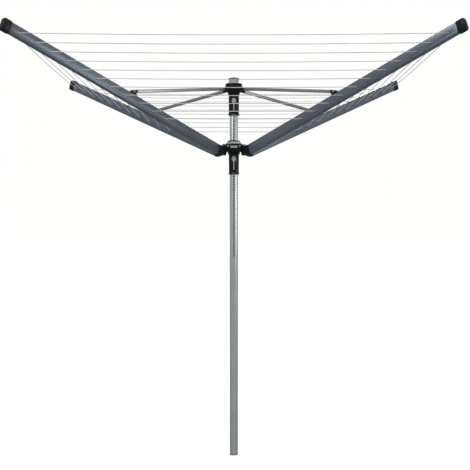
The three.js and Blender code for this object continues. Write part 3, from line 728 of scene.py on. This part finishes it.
def makeLowerSleeve():
    low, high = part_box("lower_sleeve")
    bottom, top = low.z, high.z
    rim = high.x
    bore, radius, flare = sleeveSet["bore"], sleeveSet["radius"], sleeveSet["lowerFlare"]
    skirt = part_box("arm_carrier")[0].z
    flange = top - sleeveSet["flangeTall"]
    sleeve = turnPiece(
        "lowerSleeve",
        [(bore, bottom), (flare - 0.0006, bottom), (flare, bottom + 0.0006), (flare, bottom + 0.0026),
         (flare - 0.001, bottom + 0.006), (flare - 0.002, bottom + 0.009), (radius - 0.001, bottom + 0.012),
         (radius - 0.0003, skirt - 0.010), (radius, skirt - 0.008), (radius, flange), (rim - 0.0006, flange),
         (rim, flange + 0.0006), (rim, flange + 0.0032), (rim - 0.0012, flange + 0.0055),
         (rim - 0.004, top - 0.0003), (rim - 0.0052, top), (bore, top), (bore, bottom)],
    )
    fitSleeve(sleeve, "lower", bottom, top)
    finishPiece(sleeve, "lower_sleeve", 40.0)


def makeNeck():
    low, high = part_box("upper_neck")
    base, top = low.z, high.z
    bore, fit = sleeveSet["bore"], leverSet["fit"]
    socket = sleeveSet["spigot"] + fit
    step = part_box("upper_sleeve")[1].z + fit
    bell = [
        (0.0394, 0.0), (0.04, 0.0006), (0.0399, 0.0016), (0.039, 0.0026), (0.0352, 0.0042), (0.0322, 0.006),
        (0.0300, 0.0084), (0.0283, 0.0112), (0.0271, 0.0144), (0.0263, 0.0172),
    ]
    neck = turnPiece(
        "neck",
        [(socket, base)] + [(r, base + z) for r, z in bell]
        + [(0.0263, top - 0.0006), (0.0257, top), (bore, top), (bore, step), (socket, step), (socket, base)],
    )
    finishPiece(neck, "upper_neck", 45.0)


# The section of a moulded ring with eased rims; waist holds any points between them on its outside.
def ringProfile(bore, radius, bottom, top, waist=()):
    lower = [(radius - 0.002, bottom), (radius - 0.0006, bottom + 0.0009), (radius, bottom + 0.003)]
    upper = [(radius, top - 0.003), (radius - 0.0006, top - 0.0009), (radius - 0.002, top)]
    return [(bore, bottom)] + lower + list(waist) + upper + [(bore, top), (bore, bottom)]


def makeCrown():
    bottom, top = crownBottom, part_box("crown")[1].z
    radius, bore = crownSet["radius"], crownSet["bore"]
    inside = radius - 0.0008
    waist = [
        (radius, bottom + 0.0068), (inside, bottom + 0.0076), (inside, top - 0.0076), (radius, top - 0.0068)
    ]
    ring = turnPiece("crown", ringProfile(bore, radius, bottom, top, waist))
    slot, cheek = crownSet["slot"], crownSet["cheek"]
    pivotX, pivotZ = strutPivot
    outline = (
        [(radius - 0.008, bottom), (radius + 0.002, bottom), (pivotX - 0.007, pivotZ - 0.004)]
        + arcPoints(pivotX, pivotZ, crownSet["eye"], 215, 380, 20)
        + [(radius - 0.001, top - 0.008), (radius - 0.008, top - 0.008)]
    )
    notch = blockPiece("notch", (radius - 0.01, -slot, bottom - 0.005), (radius + 0.03, slot, top + 0.005))
    for azimuth in armSet["azimuths"]:
        carve(ring, copyOf(notch, turnZ(azimuth)))
    removeObject(notch)
    for side in (1, -1):
        ys = sorted((side * slot, side * (slot + cheek)))
        plate = drawPiece("cheek", outline, ys[0], ys[1])
        roundEdges(plate, 0.0009)
        face = side * (slot + cheek)
        rivet = turnPiece(
            "rivet",
            [(0, -0.001), (crownSet["rivet"], -0.001), (crownSet["rivet"], 0.0007), (0.0052, 0.0014),
             (0.0036, 0.0019), (0.0018, 0.002), (0, 0.002)], 32,
        )
        turn = Matrix.Rotation(math.radians(-90.0 * side), 4, "X")
        weldOn(plate, placePiece(rivet, Matrix.Translation((pivotX, face, pivotZ)) @ turn))
        for azimuth in armSet["azimuths"]:
            weldOn(ring, copyOf(plate, turnZ(azimuth)))
        removeObject(plate)
    finishPiece(ring, "crown", 38.0)


carrierSet = {
    "bore": 0.0285, "radius": 0.0335, "slot": 0.0126, "cheek": 0.005, "reach": 0.014, "web": 0.046,
    "gusset": 0.047, "gussetHalf": 0.02, "pinBore": 0.0043,
}


def makeCarrier():
    low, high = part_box("arm_carrier")
    bottom, top = low.z, high.z
    bore, radius = carrierSet["bore"], carrierSet["radius"]
    ring = turnPiece("carrier", ringProfile(bore, radius, bottom, top))
    half = carrierSet["gussetHalf"]
    gusset = blockPiece("gusset", (0.03, -half, bottom + 0.012), (carrierSet["gusset"], half, top - 0.004))
    roundEdges(gusset, 0.0016)
    for azimuth in armSet["azimuths"]:
        weldOn(ring, copyOf(gusset, turnZ(azimuth - 45.0)))
    removeObject(gusset)
    slot, cheek, reach = carrierSet["slot"], carrierSet["cheek"], carrierSet["reach"]
    outline = (
        [(bore + 0.001, bottom + 0.012), (hingeRadius - 0.004, hingeHeight - reach)]
        + arcPoints(hingeRadius, hingeHeight, reach, -80, 80, 24)
        + [(hingeRadius - 0.008, top - 0.001), (bore + 0.001, top - 0.001)]
    )
    web = drawPiece("web", outline, -slot - 0.001, slot + 0.001)
    beyond = blockPiece("beyond", (carrierSet["web"], -0.03, bottom), (0.1, 0.03, top + 0.005))
    carve(web, beyond)
    for side in (1, -1):
        ys = sorted((side * slot, side * (slot + cheek)))
        plate = drawPiece("forkCheek", outline, ys[0], ys[1])
        roundEdges(plate, 0.0011)
        hole = (hingeRadius, -0.03, hingeHeight), (hingeRadius, 0.03, hingeHeight)
        carve(plate, barPiece("hole", carrierSet["pinBore"], *hole))
        weldOn(web, plate)
    for azimuth in armSet["azimuths"]:
        weldOn(ring, copyOf(web, turnZ(azimuth)))
    removeObject(web)
    core = barPiece("core", bore, (0, 0, bottom - 0.005), (0, 0, top + 0.005), 96)
    carve(ring, core)
    finishPiece(ring, "arm_carrier", 38.0)


def makeCollar():
    low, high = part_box("carrier_collar")
    bottom, top = low.z, high.z
    bore = carrierSet["bore"]
    terraces = [
        (0.0144, 0.0), (0.015, 0.0006), (0.0148, 0.0028), (0.0140, 0.0033), (0.0130, 0.0035),
        (0.0129, 0.0046), (0.0133, 0.0050), (0.0118, 0.0074), (0.0105, 0.0078), (0.0102, 0.0088),
        (0.0100, 0.0093),
    ]
    collar = turnPiece(
        "collar",
        [(bore, bottom)] + [(bore + r, bottom + z) for r, z in terraces]
        + [(bore + 0.0090, top - 0.0006), (bore + 0.0083, top), (bore, top), (bore, bottom)],
    )
    finishPiece(collar, "carrier_collar", 30.0)


def makePlate():
    low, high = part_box("carrier_plate")
    plate = blockPiece("plate", low, high)
    selectFaces(plate, lambda face: face.normal.y < -0.9)
    bpy.ops.mesh.inset(thickness=0.0009)  # a frame round a sunk, blank field
    bpy.ops.mesh.extrude_region_move(TRANSFORM_OT_translate={"value": (0.0, 0.0004, 0.0)})
    bpy.ops.object.mode_set(mode="OBJECT")
    roundEdges(plate, 0.00025, 2)
    finishPiece(plate, "carrier_plate")


# The inlay's outline: a disc above, its stem below.
def inlayOutline(disc, stemBottom, grow):
    half, tall, stem = leverSet["discHalf"] + grow, leverSet["discTall"] + grow, leverSet["stemHalf"] + grow
    start = math.degrees(math.asin(stem / half)) - 90.0
    spots = []
    for i in range(41):
        a = math.radians(start + (360.0 - 2 * (start + 90.0)) * i / 40)
        spots.append((half * math.cos(a), disc + tall * math.sin(a)))
    foot = stemBottom - grow + stem
    return spots + arcPoints(0.0, foot, stem, 180, 360, 12)


def makeLever(hub):
    low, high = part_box(hub + "_lever")
    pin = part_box(hub + "_lever_pin")
    pivot = (pin[0] + pin[1]) / 2
    inlayLow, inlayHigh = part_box(hub + "_lever_inlay")
    half, foot, corner = leverSet["half"], leverSet["foot"], leverSet["corner"]
    outline = (
        arcPoints(half - foot, low.z + foot, foot, -90, 0, 10)
        + arcPoints(half - corner, high.z - corner, corner, 0, 90, 8)
        + arcPoints(corner - half, high.z - corner, corner, 90, 180, 8)
        + arcPoints(foot - half, low.z + foot, foot, 180, 270, 10)
    )
    plate = drawPiece("lever", outline, low.y, high.y)
    roundEdges(plate, 0.0016, 4)
    disc = inlayHigh.z - leverSet["discTall"]
    fit = leverSet["fit"]
    hollow = inlayOutline(disc, inlayLow.z, fit)
    carve(plate, drawPiece("pocket", hollow, low.y - 0.004, inlayHigh.y + fit))
    reach = half + 0.006
    bore = leverSet["pinRadius"] + fit
    carve(plate, barPiece("bore", bore, (-reach, pivot.y, pivot.z), (reach, pivot.y, pivot.z)))
    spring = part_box(hub + "_lever_spring")
    middle = (spring[0].z + spring[1].z) / 2
    seat = barPiece("seat", leverSet["seatRadius"], (0, pivot.y - 0.001, middle), (0, high.y + 0.004, middle))
    carve(plate, seat)
    for i in range(leverSet["grips"]):  # grip grooves either side of the stem's foot
        z = low.z + 0.0055 + leverSet["gripPitch"] * i
        for side in (1, -1):
            xs = sorted((side * 0.0055, side * 0.0105))
            grip = blockPiece("grip", (xs[0], low.y - 0.002, z), (xs[1], low.y + 0.0005, z + 0.0013))
            roundEdges(grip, 0.0003, 2)
            carve(plate, grip)
    finishPiece(plate, hub + "_lever", 40.0)


def makeInlay(hub):
    low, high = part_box(hub + "_lever_inlay")
    disc = high.z - leverSet["discTall"]
    inlay = drawPiece("inlay", inlayOutline(disc, low.z, 0.0), low.y, high.y)
    roundEdges(inlay, 0.00035, 3)
    dish = turnPiece(
        "dish", [(0, -0.0006), (0.0084, -0.0006), (0.0084, 0.0001), (0.0078, 0.0007), (0, 0.0007)], 48
    )
    lay = Matrix.Rotation(math.radians(-90.0), 4, "X")
    stretch = Matrix.Diagonal((1.0, 1.0, leverSet["discTall"] / leverSet["discHalf"], 1.0))
    carve(inlay, placePiece(dish, Matrix.Translation((0, low.y, disc)) @ stretch @ lay))
    finishPiece(inlay, hub + "_lever_inlay", 40.0)


# A pin along X or Y whose two halves are alike; halfProfile lists (radius, distance from its middle).
def crossPiece(name, halfProfile, middle, axis, sides=40):
    profile = [(r, -d) for r, d in halfProfile] + [(r, d) for r, d in reversed(halfProfile)]
    pin = turnPiece(name, profile, sides)
    turn = Matrix.Rotation(math.radians(90.0), 4, "Y" if axis == "x" else "X")
    return placePiece(pin, Matrix.Translation(middle) @ turn)


def makeLeverPin(hub):
    low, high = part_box(hub + "_lever_pin")
    middle = (low + high) / 2
    r, half = leverSet["pinRadius"], (high.x - low.x) / 2
    neck = r - 0.0003  # the groove near each end
    profile = [
        (0, half), (r - 0.0006, half), (r, half - 0.0006), (r, half - 0.0024), (neck, half - 0.0026),
        (neck, half - 0.0032), (r, half - 0.0034),
    ]
    pin = crossPiece("pin", profile, middle, "x")
    finishPiece(pin, hub + "_lever_pin")


def makeLatch(hub):
    low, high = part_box(hub + "_latch")
    middle = (low + high) / 2
    r, half = leverSet["latchRadius"], (high.y - low.y) / 2
    profile = [
        (0, half), (r - 0.0009, half), (r - 0.0002, half - 0.0009), (r, half - 0.0018), (r, 0.0012),
        (r - 0.0003, 0.0009),
    ]
    latch = crossPiece("latch", profile, middle, "y")
    finishPiece(latch, hub + "_latch")


# A wire's round section, screwed up into a coil and capped.
def makeSpring(hub):
    low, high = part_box(hub + "_lever_spring")
    wire, turns = leverSet["springWire"], leverSet["springTurns"]
    upright = (math.radians(90.0), 0, 0)
    clearSelection()
    spot = ((high.x - low.x) / 2 - wire, 0.0, 0.0)
    bpy.ops.mesh.primitive_circle_add(vertices=12, radius=wire, location=spot, rotation=upright)
    spring = bpy.context.object
    applyPlace()
    pitch = (high.y - low.y - 2 * wire) / turns
    applyModifier(
        spring, "SCREW", axis="Z", iterations=turns, screw_offset=pitch, angle=math.tau,
        steps=28, render_steps=28,
    )
    bpy.ops.object.mode_set(mode="EDIT")
    bpy.ops.mesh.select_all(action="SELECT")
    bpy.ops.mesh.fill_holes(sides=0)
    bpy.ops.mesh.normals_make_consistent(inside=False)
    bpy.ops.object.mode_set(mode="OBJECT")
    lay = Matrix.Rotation(math.radians(90.0), 4, "X")
    middle = (low.z + high.z) / 2
    placePiece(spring, Matrix.Translation((0, high.y - wire, middle)) @ lay)
    finishPiece(spring, hub + "_lever_spring", 60.0)
    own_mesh(spring)


# Arms and struts in their own frames: x runs out from the hinge, z up. The line's holes are on the arms.
armShape = {
    "half": 0.013, "railHalf": 0.0075, "middle": -0.04, "tall": 0.057, "railTall": 0.013, "slope": 0.005,
    "wall": 0.002, "start": 0.055, "end": 1.448, "capLength": 0.043, "capLip": 0.0025, "gap": 0.0003,
    "eye": 0.013, "fittingHalf": 0.012, "pinRadius": 0.004, "pinHalf": 0.0176,
}
lineSet = {
    "rounds": 11, "outer": 1.404, "pitch": 0.0944, "drop": 0.045, "diameter": 0.0035, "holeRadius": 0.0032,
    "bend": 0.014, "bendEase": 0.002, "sag": 0.009, "pointsPerHalf": 9, "leastKeep": 0.02,
}
strutShape = {
    "foot": 0.692, "half": 0.0075, "tallHalf": 0.008, "wall": 0.0015, "endLength": 0.024, "plug": 0.024,
    "pinHalf": 0.0111, "pinBore": 0.0033, "bracketHalf": 0.022,
}
armPlace = Matrix.Translation((hingeRadius, 0, hingeHeight)) @ Matrix.Rotation(
    math.radians(-armSet["tilt"]), 4, "Y"
)


# Half of the arm's section, up its +y side: body, slope, then the narrow rail.
def armHalf():
    s = armShape
    top = s["middle"] + s["tall"] / 2
    bottom = s["middle"] - s["tall"] / 2
    shoulder = top - s["railTall"]
    half, rail = s["half"], s["railHalf"]
    groove = half - 0.0004
    return [
        (0.5 * half, bottom), (0.85 * half, bottom + 0.0025), (half, bottom + 0.008), (half, bottom + 0.0135),
        (groove, bottom + 0.0139), (groove, bottom + 0.0149), (half, bottom + 0.0153),
        (half, shoulder - s["slope"]), (rail, shoulder), (rail, top - 0.0015), (rail - 0.0015, top),
    ]


def bothSides(half):
    return half + [(-y, z) for y, z in reversed(half)]


# Both end faces inset by the wall and joined through the bar, which makes it a tube.
def hollowOut(obj, wall):
    selectFaces(obj, lambda face: abs(face.normal.x) > 0.99)
    bpy.ops.mesh.inset(thickness=wall)
    bpy.ops.mesh.bridge_edge_loops()
    return closeEdit(obj)


def makeArms():
    s = armShape
    bar = drawPiece("arm", bothSides(armHalf()), s["start"], s["end"], "x")
    roundEdges(bar, 0.0006, 2, 35.0)
    hollowOut(bar, s["wall"])
    x, z = lineSet["outer"], -lineSet["drop"]
    hole = barPiece("hole", lineSet["holeRadius"], (x, -0.02, z), (x, 0.02, z), 24)
    applyModifier(
        hole, "ARRAY", count=lineSet["rounds"], use_relative_offset=False, use_constant_offset=True,
        constant_offset_displace=(-lineSet["pitch"], 0.0, 0.0),
    )
    carve(bar, hole)
    finishFour(bar, "arm_tube", armPlace)


# The block that a fitting or cap pushes into the arm's hollow.
def armPlug(x0, x1):
    s = armShape
    half = s["half"] - s["wall"] - s["gap"]
    top = s["middle"] + s["tall"] / 2 - s["railTall"] - s["wall"] - s["slope"] - s["gap"]
    bottom = s["middle"] - s["tall"] / 2 + s["wall"] + 0.008
    plug = blockPiece("plug", (x0, -half, bottom), (x1, half, top))
    return roundEdges(plug, 0.0008, 2)


def makeArmFittings():
    s = armShape
    end = s["start"] - s["gap"]
    low = s["middle"] - s["tall"] / 2
    high = s["middle"] + s["tall"] / 2
    outline = (
        arcPoints(0, 0, s["eye"], 75, 250, 24)
        + [(-0.0055, low + 0.0275), (-0.0048, low + 0.0252), (-0.002, low + 0.0232), (0.003, low + 0.0219),
           (0.010, low + 0.0212), (0.0145, low + 0.0203), (0.019, low + 0.018), (end - 0.014, low + 0.0040),
           (end - 0.009, low + 0.0012), (end - 0.004, low - 0.0006), (end, low - 0.001), (end, high - 0.002),
           (end - 0.018, high + 0.0013), (end - 0.022, high + 0.002), (end - 0.026, high + 0.0022)]
    )
    half = s["fittingHalf"]
    block = drawPiece("fitting", outline, -half, half)
    roundEdges(block, 0.0014)
    reach = 0.03
    carve(block, barPiece("bore", s["pinRadius"] + s["gap"], (0, -reach, 0), (0, reach, 0)))
    pockets = [(0.0185, low + 0.028, 0.0315, -0.0195), (0.035, low + 0.014, 0.048, -0.019)]
    for side in (1, -1):  # coring pockets either side of a rib, as a moulded fitting has
        ys = sorted((side * (half - 0.0016), side * (half + 0.004)))
        for x0, z0, x1, z1 in pockets:
            pocket = blockPiece("pocket", (x0, ys[0], z0), (x1, ys[1], z1))
            roundEdges(pocket, 0.0009, 2)
            carve(block, pocket)
    weldOn(block, armPlug(end - 0.001, end + 0.026))
    finishFour(block, "arm_fitting", armPlace)


def makeArmCaps():
    s = armShape
    start = s["end"] + s["gap"]
    wide = s["half"] + s["capLip"]
    tall = s["tall"] / 2 + s["capLip"]
    mid = s["middle"]
    section = bothSides(
        [(wide - 0.006, mid - tall), (wide - 0.0018, mid - tall + 0.0018), (wide, mid - tall + 0.006),
         (wide, mid + tall - 0.009), (wide - 0.0012, mid + tall - 0.0056), (wide - 0.004, mid + tall - 0.003),
         (wide - 0.008, mid + tall)]
    )
    cap = drawPiece("cap", section, start, start + s["capLength"], "x")
    selectFaces(cap, lambda face: face.normal.x > 0.99)
    nose = (start + s["capLength"], 0.0, mid)
    bpy.ops.transform.translate(value=(-0.012, 0.0, 0.0))
    for step, share in ((0.005, 0.97), (0.004, 0.93), (0.003, 0.84)):  # the nose narrows in three steps
        bpy.ops.mesh.extrude_region_move(TRANSFORM_OT_translate={"value": (step, 0.0, 0.0)})
        bpy.ops.transform.resize(value=(1.0, share, share), center_override=nose)
    bpy.ops.object.mode_set(mode="OBJECT")
    roundEdges(cap, 0.0012, 3, 25.0)
    coreWide, coreTall = wide - 0.0006, tall - 0.0006
    for x in (start + 0.006, start + 0.010):  # two grip grooves round the cap
        band = blockPiece("band", (x, -0.05, mid - 0.05), (x + 0.0016, 0.05, mid + 0.05))
        below, above = (x - 0.001, -coreWide, mid - coreTall), (x + 0.003, coreWide, mid + coreTall)
        core = blockPiece("core", below, above)
        roundEdges(core, 0.006, 4)
        carve(band, core)
        carve(cap, band)
    weldOn(cap, armPlug(start - 0.026, start + 0.001))
    finishFour(cap, "arm_cap", armPlace)


def makeArmPins():
    half = armShape["pinHalf"]
    pin = crossPiece(
        "armPin",
        [(0, half + 0.0023), (0.0025, half + 0.00225), (0.005, half + 0.0019), (0.0066, half + 0.0012),
         (0.007, half + 0.0006), (0.007, half + 0.0003), (0.004, half + 0.0003)],
        (0, 0, 0), "y", 48,
    )
    finishFour(pin, "arm_pin", Matrix.Translation((hingeRadius, 0, hingeHeight)))


def makeStrutPins():
    half = strutShape["pinHalf"]
    pin = crossPiece(
        "strutPin",
        [(0, half + 0.0023), (0.002, half + 0.0022), (0.0042, half + 0.0017), (0.0055, half + 0.0008),
         (0.0055, half + 0.0003), (0.003, half + 0.0003)],
        (strutShape["foot"], 0, 0), "y", 40,
    )
    finishFour(pin, "strut_pin", armPlace)


def makeBrackets():
    foot = strutShape["foot"]
    slot = strutShape["half"] + 0.0006
    outer = slot + 0.003
    base = armShape["middle"] + armShape["tall"] / 2 + armShape["gap"]
    x0, x1 = foot - strutShape["bracketHalf"], foot + strutShape["bracketHalf"]
    outline = (
        [(x0, base), (x1, base), (x1, base + 0.003), (x1 - 0.003, base + 0.005)]
        + arcPoints(foot, 0, 0.008, 20, 160, 20)
        + [(x0 + 0.003, base + 0.005), (x0, base + 0.003)]
    )
    bracket = drawPiece("bracket", outline, -outer, outer)
    roundEdges(bracket, 0.0008)
    channel = blockPiece("channel", (x0 - 0.005, -slot, base + 0.0022), (x1 + 0.005, slot, 0.02))
    carve(bracket, channel)
    carve(bracket, barPiece("bore", strutShape["pinBore"], (foot, -0.02, 0), (foot, 0.02, 0)))
    finishFour(bracket, "strut_bracket", armPlace)


# A strut's length between its pivots, and its frame at azimuth 0: x from its foot to its head.
def strutFrame():
    tilt = math.radians(armSet["tilt"])
    footX = hingeRadius + strutShape["foot"] * math.cos(tilt)
    footZ = hingeHeight + strutShape["foot"] * math.sin(tilt)
    pivotX, pivotZ = strutPivot
    length = math.hypot(footX - pivotX, pivotZ - footZ)
    angle = math.atan2(pivotZ - footZ, pivotX - footX)
    return length, Matrix.Translation((footX, 0, footZ)) @ Matrix.Rotation(-angle, 4, "Y")


def makeStruts():
    s = strutShape
    length, place = strutFrame()
    half, tall, end = s["half"], s["tallHalf"], s["endLength"]
    section = bothSides([(half, -tall), (half, tall)])
    bar = drawPiece("strut", section, end, length - end, "x")
    roundEdges(bar, 0.0018, 3)
    hollowOut(bar, s["wall"])
    finishFour(bar, "strut_tube", place)
    inner = end - armShape["gap"]
    for stem, bored in (("strut_foot", True), ("strut_head", False)):
        outline = arcPoints(0, 0, tall, 90, 270, 24) + [(inner, -tall), (inner, tall)]
        eye = drawPiece("strutEnd", outline, -half, half)
        roundEdges(eye, 0.0012)
        if bored:
            carve(eye, barPiece("bore", s["pinBore"], (0, -0.02, 0), (0, 0.02, 0)))
        rest = s["wall"] + armShape["gap"]
        low = (inner - 0.001, rest - half, rest - tall)
        plug = blockPiece("plug", low, (inner + s["plug"], half - rest, tall - rest))
        roundEdges(plug, 0.0008, 2)
        weldOn(eye, plug)
        flip = Matrix.Translation((length, 0, 0)) @ Matrix.Rotation(math.pi, 4, "Y")
        finishFour(eye, stem, place if bored else place @ flip)


knotSet = {"loopRadius": 0.0022, "cordRadius": 0.00165, "turns": (0.0, 75.0), "lean": 35.0}


# A knot as two crossing loops of line pulled tight, at the last arm.
def makeKnots():
    lean, azimuth = math.radians(knotSet["lean"]), math.radians(armSet["azimuths"][3])
    for node in ("line_knot_outer", "line_knot_inner"):
        low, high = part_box(node)
        middle = (low + high) / 2
        loops = []
        for turn in knotSet["turns"]:
            clearSelection()
            bpy.ops.mesh.primitive_torus_add(
                major_radius=knotSet["loopRadius"], minor_radius=knotSet["cordRadius"], major_segments=28,
                minor_segments=14, location=middle, rotation=(math.radians(turn), lean, azimuth),
            )
            loops.append(bpy.context.object)
            applyPlace()
        weldOn(loops[0], loops[1])
        finishPiece(loops[0], node, 60.0)


makeMast()
makeFootPlug()
makeMastCap()
makeUpperSleeve()
makeLowerSleeve()
makeNeck()
makeCrown()
makeCarrier()
makeCollar()
makePlate()
print("mast and hubs modelled")
for hub in ("upper", "lower"):
    makeLever(hub)
    makeInlay(hub)
    makeLeverPin(hub)
    makeLatch(hub)
    makeSpring(hub)
print("levers modelled")
makeArms()
makeArmFittings()
makeArmCaps()
makeArmPins()
makeStrutPins()
makeBrackets()
makeStruts()
makeKnots()
print("arms and struts modelled")


# Each span of the line is two halves that meet in the middle, one on each arm.
# This is a point beside an arm in its own plane: radius, across, height.
def lineHole(along, across):
    tilt = math.radians(armSet["tilt"])
    radius = hingeRadius + along * math.cos(tilt) + lineSet["drop"] * math.sin(tilt)
    height = hingeHeight + along * math.sin(tilt) - lineSet["drop"] * math.cos(tilt)
    return Vector((radius, across, height))


def toRow(point, azimuth):
    return Matrix.Rotation(math.radians(azimuth), 3, "Z") @ point


# From inside the arm's hole round a short bend, then along the sagging span to its middle.
def halfPath(along, side, hole, other, sag):
    points = [lineHole(along, 0.0), lineHole(along, side * (lineSet["bend"] - lineSet["bendEase"]))]
    count = lineSet["pointsPerHalf"]
    for i in range(count + 1):
        t = 0.5 * i / count
        p = hole.lerp(other, t)
        p.z -= 4 * sag * t * (1 - t)
        points.append(p)
    return points


# The line's round cord through the points, made a mesh.
def cordPiece(name, points, azimuth):
    curve = bpy.data.curves.new("halfSpan", "CURVE")
    curve.dimensions = "3D"
    curve.bevel_depth = lineSet["diameter"] / 2
    curve.bevel_resolution = 2
    curve.use_fill_caps = True
    spline = curve.splines.new("POLY")
    spline.points.add(len(points) - 1)
    for spot, p in zip(spline.points, points):
        spot.co = (*toRow(p, azimuth), 1.0)
    obj = bpy.data.objects.new(name, curve)
    scene.collection.objects.link(obj)
    makeActive(obj)
    bpy.ops.object.convert(target="MESH")
    obj = bpy.context.object
    bpy.ops.object.shade_smooth()
    obj.data.materials.append(finishes["line_cord"])
    return obj


def makeHalfSpan(arm, azimuth, side, turn, outerHalf):
    along = lineSet["outer"] - turn * lineSet["pitch"]
    hole = lineHole(along, side * lineSet["bend"])
    # the next arm's matching hole, turned into this arm's plane
    other = Matrix.Rotation(math.radians(90.0 * side), 3, "Z") @ lineHole(along, -side * lineSet["bend"])
    middle = (hole + other) / 2
    sag = lineSet["sag"] * ((middle - hole).length / outerHalf) ** 2
    name = f"line_{arm}_{'next' if side > 0 else 'last'}_{turn + 1}"
    obj = cordPiece(name, halfPath(along, side, hole, other, sag), azimuth)
    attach(obj, f"arm_{arm}")
    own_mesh(obj)
    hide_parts("clothesline")


def makeLine():
    start = lineHole(lineSet["outer"], lineSet["bend"])
    end = Matrix.Rotation(math.radians(90.0), 3, "Z") @ lineHole(lineSet["outer"], -lineSet["bend"])
    outerHalf = (end - start).length / 2
    for k, azimuth in enumerate(armSet["azimuths"]):
        for side in (1, -1):
            for turn in range(lineSet["rounds"]):
                makeHalfSpan(k + 1, azimuth, side, turn, outerHalf)
    print("line strung:", 8 * lineSet["rounds"], "half spans")


makeLine()
